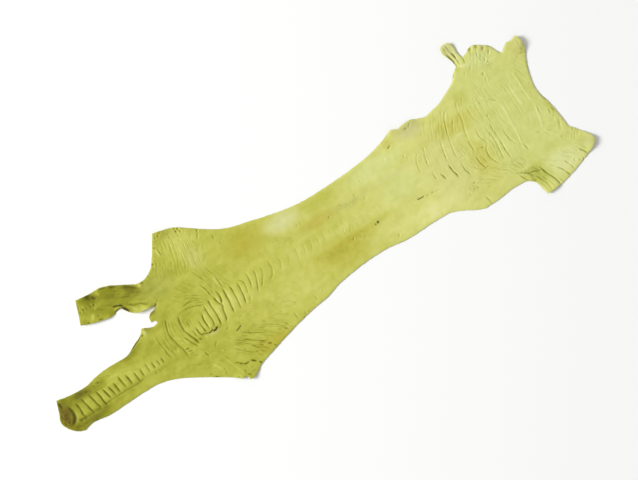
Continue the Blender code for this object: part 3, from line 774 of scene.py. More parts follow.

# One patch to a line: its place, a colon, and how much deeper, warmer and greyer the dye is there.
# The paler patches on the short toe's curled lip (-204,30), on the spur by the torn web (-213,5.5) and on the
# strip (261,93) are painted highlights.
DYE_AND_HIGHLIGHT_PATCHES = tuple(DyeAndHighlightPatch(patch_of(place), *numbers(change)) for place, change in rows_of("""
-312,-47 30,8: 0.13
-313,-13 13,5: 0.21
-305,-18 5,4: 0.1
-265,-20 26,5: -0.06
-241,-4 17,7: 0.18
-213,-14 12,13: 0.06
-213,5.5 3,5: -0.2
-246.5,75 5,3 -40: 0.24
-237,-31 26,7: -0.08
-188,14 9,9: 0.07
-199,50 14,7: 0.08
-122,-17 46,14: -0.13
-130,-92 13,9: 0.05
-150,-52 18,10: 0.05
-242,-47 24,6: -0.04
-226,60 40,22: 0.15
-247,74 13,7 -20: 0.13
-202,60 10,3.4 -38: 0.16
-204,30 13,5: -0.2
-172,44 22,15: 0.06 -0.1
-125,76 18,18: -0.16
-118,50 12,14: -0.1 0 0.1
-160,-8 22,14: 0.04
-88,-82 24,8: 0.12 0.4
-147,-30 9,2.5: 0.08
-311,-18.5 20,4: 0.07
-308,-31 30,7: -0.07
-264,-32 24,6: -0.05
-344.5,-22 2.6,9 -22: 0.16
-143,-37 8,2: -0.1 0 0.12
-60,33 24,17: 0.11 0.4
-40,-45 40,16: -0.06
-10,31 21,11: -0.18 0 0.3
27,9 22,7: 0.1 0.5
42,30 26,8: 0.11
95,9 100,4: 0.03 0 0.08
36,-36 38,14: 0.14 0.3
60,-28 58,4: 0.07 0.2
45,-54 45,6: 0.06
55,-13 55,5: -0.05
88,-44 26,6: -0.07
85,-28 9,6: 0.06
112,27 36,12: -0.1 -0.3
130,-8 24,18: -0.03 -0.25
148,-52 34,11: -0.14
141,42 7,8: 0.04 0.2
172,42 16,9: 0 0.3 0.3
226,-30 13,22: 0.07 0.3
218,20 28,10: 0.09 0.3
240,44 8,9: 0.15
292,-5 70,100: -0.03 -0.2
273,-80 13,13: 0.28
308,-82 22,14: -0.26 -0.15 0.05
342,-78 11,10: 0.26 0 0.25
324.5,-20 10,3 97: 0.2
188,-25 30,45: 0 0 0.12
312,20 8,24: 0.07
284,70 14,10: -0.1 -0.2 0.06
298,80 7,9: 0.05 0.3 0.2
331,60 10,12: 0.28 0.2 0.25
261,93 6,15: -0.38
256,81 3,9: 0.4
"""))

# The brown place where the claw sat.
CLAW_PATCH = Patch((-340, -28.5), (6.6, 13), heading=-9.0)


def linear(code: str) -> tuple[float, float, float, float]:
    """Turns an sRGB hex colour into the linear one that shaders take.

    Args:
        code: The colour as #RRGGBB.

    Returns:
        Red, green, blue and alpha, from 0 to 1.
    """
    parts = [int(code[i:i + 2], 16) / 255 for i in (1, 3, 5)]
    parts = [c / 12.92 if c <= 0.04045 else ((c + 0.055) / 1.055) ** 2.4 for c in parts]
    return (parts[0], parts[1], parts[2], 1.0)


def add_node(tree: bpy.types.NodeTree, kind: str, inputs: dict | None = None,
             stops: tuple[tuple[float, str], ...] = (), **settings: object) -> bpy.types.Node:
    """Adds a node to a tree, with its settings, its constant inputs and its links.

    Args:
        tree: The shader or geometry tree.
        kind: The node's type, such as ShaderNodeTexNoise.
        inputs: What goes into the sockets, by name or number: an output to link, or a constant.
        stops: A colour ramp's positions and colours.
        settings: The node's own properties.

    Returns:
        The new node.
    """
    node = tree.nodes.new(kind)
    for name, value in settings.items():
        setattr(node, name, value)
    for key, value in (inputs or {}).items():
        if isinstance(value, bpy.types.NodeSocket):
            tree.links.new(value, node.inputs[key])
        else:
            node.inputs[key].default_value = value
    if stops:
        elements = node.color_ramp.elements
        while len(elements) < len(stops):
            elements.new(0.5)
        for element, (position, code) in zip(elements, stops):
            element.position = position
            element.color = linear(code)
    return node


def new_material(name: str) -> tuple[bpy.types.Material, bpy.types.NodeTree, bpy.types.Node]:
    """Makes an empty material that ends in a Principled shader.

    Args:
        name: The finish's name.

    Returns:
        The material, its node tree and its shader.
    """
    material = bpy.data.materials.new(name)
    material.use_nodes = True
    return material, material.node_tree, material.node_tree.nodes["Principled BSDF"]


# The scales' cells are the same in the relief and in the darkening between them, which is pooled dye and
# painted shade.
# The seed moves them along.
SCALE_WIDTH = 2.7
SCALE_SEED = 4
MOVE_PER_SEED = 0.37

# Blender's noise keeps mostly between these two values.
NOISE_LOW = 0.3
NOISE_HIGH = 0.7


@dataclass(frozen=True)
class DyedGrain:
    """The grain side: aniline-dyed leather, drum-dyed lime green without a pigment coat.

    The dye is clear, so the skin's own pores, scars and uneven uptake show through it as soft
    blotches. The creases and the gaps between the small scales are darker, partly for dye pooled there
    and partly as painted shade; the cuts and the short toe's deep fold are near-black painted shade; and
    the crests of ridges and a few raised places are paler as a painted highlight. The values that the
    mesh carries say where.
    """

    depths: tuple[tuple[float, str], ...] = (
        (0.0, "#E6E599"), (0.15, "#DDDD84"), (0.30, "#D1D170"), (0.45, "#C4C457"), (0.60, "#B2B33F"),
        (0.75, "#989822"), (0.90, "#7C7A12"), (1.0, "#64620A"),
    )
    warm: str = "#C2B23A"
    green: str = "#C8DA92"
    grey: str = "#D2D3B4"
    # The colour of the creases and of the gaps between the small scales: pooled dye and painted shade.
    crease: str = "#565300"
    claw: str = "#6B5A0C"
    speck: str = "#3A3006"
    # Near-black painted shade in the cuts and the short toe's deep fold.
    cut_and_fold_shade: str = "#332B08"
    blotches: Mottle = Mottle(14.0, 5.0, -0.055, 0.055)
    streaks: Mottle = Mottle(7.0, 3.0, -0.035, 0.035)
    flecks: Mottle = Mottle(4.0, 3.0, -0.022, 0.022)
    claw_specks: Mottle = Mottle(2.2, 2.0, -1.1, 0.6)
    scale_clusters: Mottle = Mottle(6.0, 2.0, -0.3, 1.5)
    gloss: Mottle = Mottle(5.0, 3.0, 0.52, 0.64)
    streak_squeeze: float = 0.28
    scale_gap: float = 0.25
    scale_gap_dye_and_shade: float = 0.26
    pebble_size: float = 1.5
    pore_size: float = 0.45

    def material(self) -> bpy.types.Material:
        """Builds the finish. Returns the material."""
        material, tree, shader = new_material("aniline_dyed_grain_leather")
        place = add_node(tree, "ShaderNodeTexCoord").outputs["Object"]
        painted = {}
        for name in ("dye_and_painted_light", "warm", "green", "grey", "claw", "crease", "scaled", "cut_and_fold_shade"):
            painted[name] = add_node(tree, "ShaderNodeAttribute", attribute_name=name).outputs["Fac"]
        drawn_out = add_node(tree, "ShaderNodeMapping",
                             {"Vector": place, "Scale": (self.streak_squeeze, 1.0, 1.0)}).outputs[0]
        mottled = []
        for mottle, where in (
            (self.blotches, place), (self.streaks, drawn_out), (self.flecks, place),
            (self.claw_specks, place), (self.scale_clusters, place), (self.gloss, place),
        ):
            clouds = add_node(tree, "ShaderNodeTexNoise", {
                "Vector": where, "Scale": 1 / (mottle.size * MM), "Detail": mottle.detail})
            mottled.append(add_node(tree, "ShaderNodeMapRange", {
                "Value": clouds.outputs["Fac"], "From Min": NOISE_LOW, "From Max": NOISE_HIGH,
                "To Min": mottle.low, "To Max": mottle.high}).outputs["Result"])
        *uneven, speckled, clustered, gloss = mottled

        depth = painted["dye_and_painted_light"]
        for change in uneven:
            depth = add_node(tree, "ShaderNodeMath", {0: depth, 1: change}, operation="ADD").outputs[0]
        ramp = add_node(tree, "ShaderNodeValToRGB", {"Fac": depth}, stops=self.depths)

        # The gaps between the small scales are darker: pooled dye and painted shade.
        moved = add_node(tree, "ShaderNodeVectorMath", {0: place, 1: (MOVE_PER_SEED * SCALE_SEED,) * 3},
                         operation="ADD")
        cells = add_node(tree, "ShaderNodeTexVoronoi",
                         {"Vector": moved.outputs[0], "Scale": 1 / (SCALE_WIDTH * MM), "Randomness": 1.0},
                         voronoi_dimensions="2D", feature="DISTANCE_TO_EDGE")
        gaps = add_node(tree, "ShaderNodeMapRange", {
            "Value": cells.outputs["Distance"], "From Max": self.scale_gap,
            "To Min": self.scale_gap_dye_and_shade, "To Max": 0.0})
        specks = add_node(tree, "ShaderNodeMath", {0: speckled, 1: painted["claw"]},
                          operation="MULTIPLY", use_clamp=True)
        scaly = add_node(tree, "ShaderNodeMath", {0: clustered, 1: painted["scaled"]},
                         operation="MULTIPLY", use_clamp=True)
        pooled_dye_and_shade = add_node(tree, "ShaderNodeMath", {0: gaps.outputs["Result"], 1: scaly.outputs[0]},
                          operation="MULTIPLY")

        # Over the ramp go the warm, green, grey and claw colours, the specks, the darkening of the creases
        # and scale gaps (pooled dye and painted shade), and the near-black painted shade in the cuts and
        # fold.
        colour = ramp.outputs["Color"]
        for share, over in (
            (painted["warm"], self.warm), (painted["green"], self.green), (painted["grey"], self.grey),
            (painted["claw"], self.claw), (specks.outputs[0], self.speck),
            (painted["crease"], self.crease), (pooled_dye_and_shade.outputs[0], self.crease),
            (painted["cut_and_fold_shade"], self.cut_and_fold_shade),
        ):
            colour = add_node(tree, "ShaderNodeMix", {0: share, 6: colour, 7: linear(over)},
                              data_type="RGBA").outputs[2]
        tree.links.new(colour, shader.inputs["Base Color"])

        pebbles = add_node(tree, "ShaderNodeTexVoronoi", {
            "Vector": place, "Scale": 1 / (self.pebble_size * MM)}, feature="SMOOTH_F1")
        pores = add_node(tree, "ShaderNodeTexNoise", {
            "Vector": place, "Scale": 1 / (self.pore_size * MM), "Detail": 2.0})
        pebbled = add_node(tree, "ShaderNodeBump", {
            "Strength": 0.35, "Distance": 0.12 * MM, "Height": pebbles.outputs["Distance"]}, invert=True)
        bump = add_node(tree, "ShaderNodeBump", {
            "Strength": 0.30, "Distance": 0.06 * MM, "Height": pores.outputs["Fac"],
            "Normal": pebbled.outputs["Normal"]})
        tree.links.new(bump.outputs["Normal"], shader.inputs["Normal"])
        tree.links.new(gloss, shader.inputs["Roughness"])
        shader.inputs["IOR"].default_value = 1.47
        shader.inputs["Specular IOR Level"].default_value = 0.3
        return material


@dataclass(frozen=True)
class FleshSide:
    """The underside: shaved suede, which is the same dye on loose fibres, so it is paler and quite matt."""

    tones: tuple[tuple[float, str], ...] = ((0.10, "#A9A75E"), (0.42, "#CDCB8E"))
    fibre_length: float = 3.0
    fibre_width: float = 0.7
    shaving: float = 14.0
    comb_heading: float = 12.0

    def material(self) -> bpy.types.Material:
        """Builds the finish. Returns the material."""
        material, tree, shader = new_material("shaved_suede_flesh_side")
        place = add_node(tree, "ShaderNodeTexCoord").outputs["Object"]
        combed = add_node(tree, "ShaderNodeMapping", {
            "Vector": place, "Rotation": (0.0, 0.0, math.radians(self.comb_heading)),
            "Scale": (self.fibre_width / self.fibre_length, 1.0, 1.0)})
        fibres = add_node(tree, "ShaderNodeTexNoise", {
            "Vector": combed.outputs[0], "Scale": 1 / (self.fibre_width * MM), "Detail": 4.0})
        shaved = add_node(tree, "ShaderNodeTexNoise", {
            "Vector": place, "Scale": 1 / (self.shaving * MM), "Detail": 3.0})
        share = add_node(tree, "ShaderNodeMath", {0: fibres.outputs["Fac"], 1: shaved.outputs["Fac"]},
                         operation="MULTIPLY")
        ramp = add_node(tree, "ShaderNodeValToRGB", {"Fac": share.outputs[0]}, stops=self.tones)
        tree.links.new(ramp.outputs["Color"], shader.inputs["Base Color"])
        nap = add_node(tree, "ShaderNodeBump", {
            "Strength": 0.6, "Distance": 0.15 * MM, "Height": fibres.outputs["Fac"]})
        tree.links.new(nap.outputs["Normal"], shader.inputs["Normal"])
        shader.inputs["Roughness"].default_value = 0.95
        shader.inputs["IOR"].default_value = 1.45
        return material


@dataclass(frozen=True)
class RawEdge:
    """The cut edge: raw leather cut with a knife and left unfinished, with layered fibres. It is darker than
    the grain, partly for those fibres and partly as painted shade along the rim.
    """

    tones: tuple[tuple[float, str], ...] = ((0.35, "#77762A"), (0.65, "#A5A450"))
    layer: float = 0.35
    layer_stretch: float = 0.3

    def material(self) -> bpy.types.Material:
        """Builds the finish. Returns the material."""
        material, tree, shader = new_material("raw_cut_leather_edge")
        place = add_node(tree, "ShaderNodeTexCoord").outputs["Object"]
        layered = add_node(tree, "ShaderNodeMapping", {
            "Vector": place, "Scale": (self.layer_stretch, self.layer_stretch, 1.0)})
        layers = add_node(tree, "ShaderNodeTexNoise", {
            "Vector": layered.outputs[0], "Scale": 1 / (self.layer * MM), "Detail": 4.0})
        ramp = add_node(tree, "ShaderNodeValToRGB", {"Fac": layers.outputs["Fac"]}, stops=self.tones)
        tree.links.new(ramp.outputs["Color"], shader.inputs["Base Color"])
        rough = add_node(tree, "ShaderNodeBump", {
            "Strength": 0.5, "Distance": 0.1 * MM, "Height": layers.outputs["Fac"]})
        tree.links.new(rough.outputs["Normal"], shader.inputs["Normal"])
        shader.inputs["Roughness"].default_value = 0.85
        return material


@dataclass(frozen=True)
class StudioPaper:
    """The floor: seamless white paper, quite matt, with a trace of its own tooth."""

    colour: str = "#FDFDFC"
    tooth_size: float = 1.2

    def material(self) -> bpy.types.Material:
        """Builds the finish. Returns the material."""
        material, tree, shader = new_material("matt_white_background_paper")
        place = add_node(tree, "ShaderNodeTexCoord").outputs["Object"]
        tooth = add_node(tree, "ShaderNodeTexNoise", {
            "Vector": place, "Scale": 1 / (self.tooth_size * MM), "Detail": 2.0})
        bump = add_node(tree, "ShaderNodeBump", {
            "Strength": 0.05, "Distance": 0.02 * MM, "Height": tooth.outputs["Fac"]})
        tree.links.new(bump.outputs["Normal"], shader.inputs["Normal"])
        shader.inputs["Base Color"].default_value = linear(self.colour)
        shader.inputs["Roughness"].default_value = 0.9
        shader.inputs["Specular IOR Level"].default_value = 0.2
        return material


# A length that no two points fall under, which keeps a division safe.
SMALLEST = 1e-6

# How the outline is filled with triangles: only inside it, and points this close become one.
KEEP_INSIDE = 1
MERGE_GAP = 1e-5


def put_in_scene(name: str, data: bpy.types.ID) -> bpy.types.Object:
    """Puts a mesh, a light or a camera into the scene. Returns its object."""
    thing = bpy.data.objects.new(name, data)
    bpy.context.scene.collection.objects.link(thing)
    return thing


def smooth_through(points: Route | np.ndarray, step: float) -> np.ndarray:
    """Draws the smooth curve through the given points.

    Args:
        points: The knots, in order. Both ends stay.
        step: About how far apart the drawn points lie.

    Returns:
        The drawn points, one row each.
    """
    knots = np.array(points, float)
    gaps = np.linalg.norm(np.diff(knots, axis=0), axis=1)
    if len(knots) == 2:
        count = max(1, round(gaps[0] / step))
        return knots[0] + np.linspace(0, 1, count + 1)[:, None] * (knots[1] - knots[0])
    rates = np.diff(knots, axis=0) / gaps[:, None]
    slopes = [rates[0]]
    for i in range(1, len(knots) - 1):
        slopes.append((rates[i - 1] * gaps[i] + rates[i] * gaps[i - 1]) / (gaps[i] + gaps[i - 1]))
    slopes.append(rates[-1])
    curve = [knots[:1]]
    for i, gap in enumerate(gaps):
        count = max(1, round(gap / step))
        t = (np.arange(1, count + 1) / count)[:, None]
        start = knots[i] * (2 * t**3 - 3 * t**2 + 1) + slopes[i] * gap * (t**3 - 2 * t**2 + t)
        end = knots[i + 1] * (3 * t**2 - 2 * t**3) + slopes[i + 1] * gap * (t**3 - t**2)
        curve.append(start + end)
    return np.concatenate(curve)


def nearest_on(line: np.ndarray, places: np.ndarray) -> tuple[np.ndarray, np.ndarray]:
    """Measures how places lie to a line.

    Args:
        line: The line's points, one row each.
        places: The places, one row each.

    Returns:
        How far each place is from the line, and how far along the line its nearest point is, from 0 to 1.
    """
    starts, steps = line[:-1], np.diff(line, axis=0)
    lengths = np.maximum(np.linalg.norm(steps, axis=1), SMALLEST)
    before = np.concatenate([[0.0], np.cumsum(lengths)])
    offset = places[:, None, :] - starts[None, :, :]
    share = np.clip((offset * steps).sum(2) / lengths**2, 0.0, 1.0)
    gap = np.linalg.norm(offset - share[..., None] * steps, axis=2)
    best = gap.argmin(axis=1)
    rows = np.arange(len(places))
    return gap[rows, best], (before[best] + share[rows, best] * lengths[best]) / before[-1]


def left_of(line: np.ndarray) -> np.ndarray:
    """The direction square to a line, to its left, at each of its points."""
    heading = np.gradient(line, axis=0)
    heading /= np.maximum(np.linalg.norm(heading, axis=1), SMALLEST)[:, None]
    return np.stack([-heading[:, 1], heading[:, 0]], axis=1)


def outward_of(ring: np.ndarray) -> np.ndarray:
    """The direction out of an anticlockwise ring at each of its points."""
    heading = np.roll(ring, -1, axis=0) - np.roll(ring, 1, axis=0)
    outward = np.stack([heading[:, 1], -heading[:, 0]], axis=1)
    return outward / np.maximum(np.linalg.norm(outward, axis=1), SMALLEST)[:, None]


def bell(distance: np.ndarray, width: float, power: int = 2) -> np.ndarray:
    """A hump that is 1 in its middle and falls to about a third at its width, flatter for a higher power."""
    return np.exp(-((distance / width) ** power))


def soft_noise(places: np.ndarray, size: float, seed: int) -> np.ndarray:
    """Smooth noise over the skin.

    Args:
        places: The places, one row each.
        size: How far apart its humps lie.
        seed: Which noise it is.

    Returns:
        A value from -1 to 1 for each place.
    """
    cells = 64
    grid = np.random.default_rng(seed).uniform(-1, 1, (cells, cells))
    spot = places / size
    corner = np.floor(spot).astype(int)
    t = spot - corner
    t = t * t * (3 - 2 * t)
    x0, y0 = corner[:, 0] % cells, corner[:, 1] % cells
    x1, y1 = (x0 + 1) % cells, (y0 + 1) % cells
    low = grid[x0, y0] * (1 - t[:, 0]) + grid[x1, y0] * t[:, 0]
    high = grid[x0, y1] * (1 - t[:, 0]) + grid[x1, y1] * t[:, 0]
    return low * (1 - t[:, 1]) + high * t[:, 1]


def patch_share(patch: Patch, places: np.ndarray) -> np.ndarray:
    """How strong a soft-edged oval is at each place: 1 at its centre, and 0 far outside."""
    turn = math.radians(patch.heading)
    x, y = (places - np.array(patch.centre)).T
    u = (x * math.cos(turn) + y * math.sin(turn)) / patch.half[0]
    v = (y * math.cos(turn) - x * math.sin(turn)) / patch.half[1]
    return np.exp(-((u**2 + v**2) ** 1.5))


def near_line(line: np.ndarray, places: np.ndarray, reach: float) -> np.ndarray:
    """Which places lie in the line's own box, grown by the reach. Returns their numbers."""
    low, high = line.min(0) - reach, line.max(0) + reach
    return np.nonzero(((places > low) & (places < high)).all(axis=1))[0]


def rim_tree(ring: np.ndarray) -> kdtree.KDTree:
    """Makes a search tree of the outline's points. Returns it."""
    tree = kdtree.KDTree(len(ring))
    for i, (x, y) in enumerate(ring):
        tree.insert((x, y, 0.0), i)
    tree.balance()
    return tree


@dataclass
class CutOutline:
    """The skin's outline as the knife left it: the drawn curves with a slightly ragged edge."""

    step: float = 0.9
    waver: float = 0.16
    torn_waver: float = 0.4
    waver_size: float = 3.4
    fray: float = 0.07
    seed: int = 11

    def ring(self) -> np.ndarray:
        """Draws the outline. Returns its points anticlockwise, one row each, not closed."""
        stretches, wavers = [], []
        for name, route in CUT_EDGE.items():
            drawn = smooth_through(route, self.step)[:-1]
            stretches.append(drawn)
            wavers.append(np.full(len(drawn), self.torn_waver if "torn" in name else self.waver))
        ring = np.concatenate(stretches)
        way = np.arange(len(ring)) * self.step
        noise = soft_noise(np.stack([way, way * 0], axis=1), self.waver_size, self.seed)
        fray = np.random.default_rng(self.seed).normal(0, self.fray, len(ring))
        return ring + outward_of(ring) * (noise * np.concatenate(wavers) + fray)[:, None]


@dataclass
class FineWrinkles:
    """The wrinkles of every field: its lanes, which sway and are broken into short runs."""

    width: float = 1.0
    step: float = 2.0
    fewest_points: int = 3
    overreach: float = 1.25
    shake: float = 0.3
    sway: float = 0.8
    sway_size: float = 9.0
    run_size: float = 7.0
    lanes_apart: float = 5.7
    fields_apart: float = 3.1
    least_share: float = 0.22
    least_noise: float = -0.35
    depth_range: tuple[float, float] = (0.5, 1.2)
    seed: int = 21
    sway_seed: int = 60
    run_seed: int = 80

    def drawn(self) -> tuple[Crease, ...]:
        """Draws the wrinkles. Returns them."""
        dice = np.random.default_rng(self.seed)
        creases = []
        for number, wrinkles in enumerate(WRINKLE_FIELDS):
            reach = self.overreach * max(wrinkles.place.half)
            along = np.arange(-reach, reach, self.step)
            base = math.radians(wrinkles.heading)
            for across in np.arange(-reach, reach, wrinkles.spacing):
                across += dice.uniform(-self.shake, self.shake) * wrinkles.spacing
                turn = np.radians(wrinkles.heading + wrinkles.fan * across + wrinkles.bow * along)
                path = np.cumsum(np.stack([np.cos(turn), np.sin(turn)], axis=1) * self.step, axis=0)
                start = np.array(wrinkles.place.centre) + across * np.array([-math.sin(base), math.cos(base)])
                path += start - path[len(along) // 2]
                side = soft_noise(path + number * self.fields_apart, self.sway_size, self.sway_seed + number)
                path += (side * self.sway)[:, None] * np.stack([-np.sin(turn), np.cos(turn)], axis=1)
                share = patch_share(wrinkles.place, path)
                lane = np.full((len(along), 2), across * self.lanes_apart)
                lane[:, 0] = along / self.run_size
                whole = soft_noise(lane, 1.0, self.run_seed + number) > self.least_noise
                shown = (share > self.least_share) & whole
                edges = np.flatnonzero(np.diff(np.concatenate([[0], shown.astype(int), [0]])))
                for first, last in zip(edges[::2], edges[1::2]):
                    depth = wrinkles.depth * dice.uniform(*self.depth_range)
                    depth *= math.sqrt(share[first:last].mean())
                    if last - first >= self.fewest_points:
                        route = tuple(map(tuple, path[first:last].tolist()))
                        creases.append(Crease(self.width, depth, route))
        return tuple(creases)


@dataclass
class GrainRelief:
    """How high the grain side stands at each place, and how its colour changes there: pooled dye, painted
    shade in the creases, cuts and fold, and a painted highlight on ridge crests.

    A valley is a narrow core and a wider skirt, each a share of its depth, between two low lips. All
    their widths are shares of the crease's own.
    """

    thickness: float = 1.4
    thinnest: float = 0.3
    rim_round: float = 0.45
    rim_reach: float = 0.9
    route_step: float = 1.5
    wander: float = 0.30
    wander_size: float = 4.0
    wander_seed: int = 300
    lines_apart: float = 7.3
    slimness: float = 0.64
    core: float = 0.55
    core_share: float = 0.5
    skirt: float = 1.2
    lip: float = 0.2
    lip_place: float = 2.0
    shoulder: float = 2.8
    shoulder_reach: float = 2.5
    press: float = 1.35
    reach: float = 4.5
    unevenness: float = 0.3
    uneven_seed: int = 40
    swell: float = 0.15
    swell_size: float = 17.0
    swell_seed: int = 5
    small_swell: float = 0.11
    small_size: float = 5.0
    small_seed: int = 6
    ridge_rise: float = 0.5
    # How much paler the dye is made on the crest of a ridge: a painted highlight.
    crest_highlight_share: float = 0.35
    # Crease darkening: partly dye pooled in the creases, partly painted shade, made stronger where a crease
    # runs along the light.
    crease_dye_and_shade: float = 0.37
    dye_and_shade_width: float = 0.66
    most_dye_and_shade: float = 1.2
    painted_light_and_pooled_dye: float = 0.28
    painted_shade_along_light: float = 0.9
    light_heading: float = 148.0
    pit: float = 2.5
    end_fade: float = 4.2
    longest_fade: float = 0.3
    least_strength: float = 0.04
    fade_power: float = 0.75
    least_lift: float = 0.05
    scar_lip: float = 0.3
    scar_lip_width: float = 0.8
    cut_and_fold_shade_width: float = 1.05
    bare_rim: float = 0.8
    scaled_from: float = 2.0
    least_scaled: float = 0.08
    to_floor: Point = (0.65, -0.1)
    first_scar: int = 700
    creases: tuple[Crease, ...] = field(default_factory=lambda: ALL_CREASES + FineWrinkles().drawn())

    def drawn(self, number: int, crease: Crease) -> np.ndarray:
        """The floor of one crease, wandering slightly. Returns its points, one row each.

        The tables give the shaded wall, which lies a little nearer the light.
        """
        line = smooth_through(crease.route, self.route_step) + np.array(self.to_floor)
        place = line + number * self.lines_apart
        waver = soft_noise(place, self.wander_size, self.wander_seed + number)[:, None] * self.wander
        return line + waver * left_of(line)

    def faded(self, along: np.ndarray, length: float) -> np.ndarray:
        """How strong a crease is along its run: weaker at its ends, but a pit is whole.

        Args:
            along: The places along it, from 0 to 1.
            length: How long the run is.

        Returns:
            The strength at each place, from 0 to 1.
        """
        if length < self.pit:
            return np.ones(len(along))
        to_end = np.minimum(along, 1 - along) * length
        reach = min(self.end_fade, self.longest_fade * length)
        return np.clip(to_end / reach, self.least_strength, 1.0) ** self.fade_power

    def lift(self, places: np.ndarray) -> np.ndarray:
        """How far the underside stands off the table at each place."""
        total = np.zeros(len(places))
        for curl in CURLS:
            distance, _ = nearest_on(np.array(curl.line), places)
            total += curl.height * bell(distance, curl.reach)
        return np.where(total < self.least_lift, 0.0, total)

    def measured(self, places: np.ndarray, rim_gap: np.ndarray) -> dict[str, np.ndarray]:
        """Works out the relief and the stains.

        Args:
            places: Places on the flat skin, one row each.
            rim_gap: How far each lies from the cut edge.

        Returns:
            The height over the underside under "height"; the share of crease darkening, which is pooled dye
            and painted shade; the share of near-black painted shade in the cuts and the deep fold; and how
            much deeper the dye is made by that crease darkening, which is negative where a painted highlight
            lights the crest of a ridge.
        """
        height = np.full(len(places), self.thickness)
        crease_dye_and_shade, crest_highlight, cut_and_fold_shade = (np.zeros(len(places)) for _ in range(3))
        for band in PLATE_BANDS + (CLAW_DISH,):
            distance, along = nearest_on(smooth_through(band.route, self.route_step), places)
            fade = np.sqrt(np.sin(math.pi * np.clip(along, 0.02, 0.98)))
            height -= band.depth * fade * bell(distance, band.width, 4)
        for number, crease in enumerate(self.creases):
            line = self.drawn(number, crease)
            width = crease.width * self.slimness
            shoulders = self.shoulder * self.shoulder_reach * (crease.plump > 0)
            rows = near_line(line, places, max(width * self.reach, shoulders))
            if not len(rows):
                continue
            distance, along = nearest_on(line, places[rows])
            noise = soft_noise(places[rows], self.small_size, self.uneven_seed + number)
            run = line[-1] - line[0]
            length = float(np.linalg.norm(run))
            strength = crease.depth * self.faded(along, length) * (1.0 + self.unevenness * noise)
            u = distance / width
            # A ridge stands up, and its crest gets a painted highlight: its dye is made paler there.
            if crease.depth < 0:
                crest = -strength * bell(u, 1.0)
                height[rows] += self.ridge_rise * crest
                crest_highlight[rows] = np.maximum(crest_highlight[rows], crest)
                continue
            core = bell(u, self.core)
            valley = self.core_share * core + (1 - self.core_share) * bell(u, self.skirt)
            valley += crease.plump * (bell(distance, self.shoulder) - core)
            lips = self.lip * bell(u - self.lip_place, 1.0)
            height[rows] -= self.press * strength * (valley - lips)
            # Painted shade: a crease that runs along the light casts little shade in the relief, so its
            # darkening is made stronger.
            with_light = abs(math.cos(math.atan2(run[1], run[0]) - math.radians(self.light_heading)))
            pooled_dye_and_shade = strength**1.5 * (1 + self.painted_shade_along_light * with_light * (length > self.pit))
            crease_dye_and_shade[rows] = np.maximum(crease_dye_and_shade[rows], pooled_dye_and_shade * bell(u, self.dye_and_shade_width))
        # The cuts and the short toe's deep fold are trenches, dyed near-black as painted shade.
        for number, cut in enumerate(CUTS_AND_SHADED_FOLDS, self.first_scar):
            line = self.drawn(number, cut)
            rows = near_line(line, places, cut.width * self.reach)
            u = nearest_on(line, places[rows])[0] / cut.width
            lips = self.scar_lip * bell(u - self.lip_place, self.scar_lip_width)
            height[rows] -= cut.depth * (bell(u, 1.0, 4) - lips)
            cut_and_fold_shade[rows] = np.maximum(cut_and_fold_shade[rows], bell(u, self.cut_and_fold_shade_width, 4))
        swell = self.swell * soft_noise(places, self.swell_size, self.swell_seed)
        height += swell + self.small_swell * soft_noise(places, self.small_size, self.small_seed)
        height -= self.rim_round * bell(rim_gap, self.rim_reach)
        crease_dye_and_shade = np.clip(crease_dye_and_shade, 0.0, self.most_dye_and_shade)
        return {
            "height": np.maximum(height, self.thinnest),
            "crease": crease_dye_and_shade * self.crease_dye_and_shade,
            "cut_and_fold_shade": cut_and_fold_shade,
            "painted_light_and_pooled_dye": crease_dye_and_shade * self.painted_light_and_pooled_dye - crest_highlight * self.crest_highlight_share,
        }

    def scaled(self, places: np.ndarray, rim_gap: np.ndarray) -> np.ndarray:
        """How far the small round scales stand up at each place, from 0 to 1."""
        share = np.full(len(places), self.least_scaled)
        for patch in SCALED_PATCHES:
            share = np.maximum(share, patch_share(patch, places))
        return share * np.clip((rim_gap - self.bare_rim) / self.scaled_from, 0.0, 1.0)

    def dyed(self, places: np.ndarray) -> dict[str, np.ndarray]:
        """What the dye did, with a few painted highlights: its depth, and the shares of warm, green, grey and
        claw colour.
        """
        along, depth = np.array(DYE_ALONG).T
        dye_and_painted_light = np.interp(places[:, 0], along, depth)
        warmth, grey = (np.zeros(len(places)) for _ in range(2))
        for patch in DYE_AND_HIGHLIGHT_PATCHES:
            share = patch_share(patch.place, places)
            dye_and_painted_light += patch.deeper * share
            warmth += patch.warmer * share
            grey += patch.greyer * share
        shares = {"dye_and_painted_light": dye_and_painted_light, "warm": warmth, "green": -warmth, "grey": grey}
        shares = {name: np.clip(share, 0.0, 1.0) for name, share in shares.items()}
        return shares | {"claw": patch_share(CLAW_PATCH, places)}


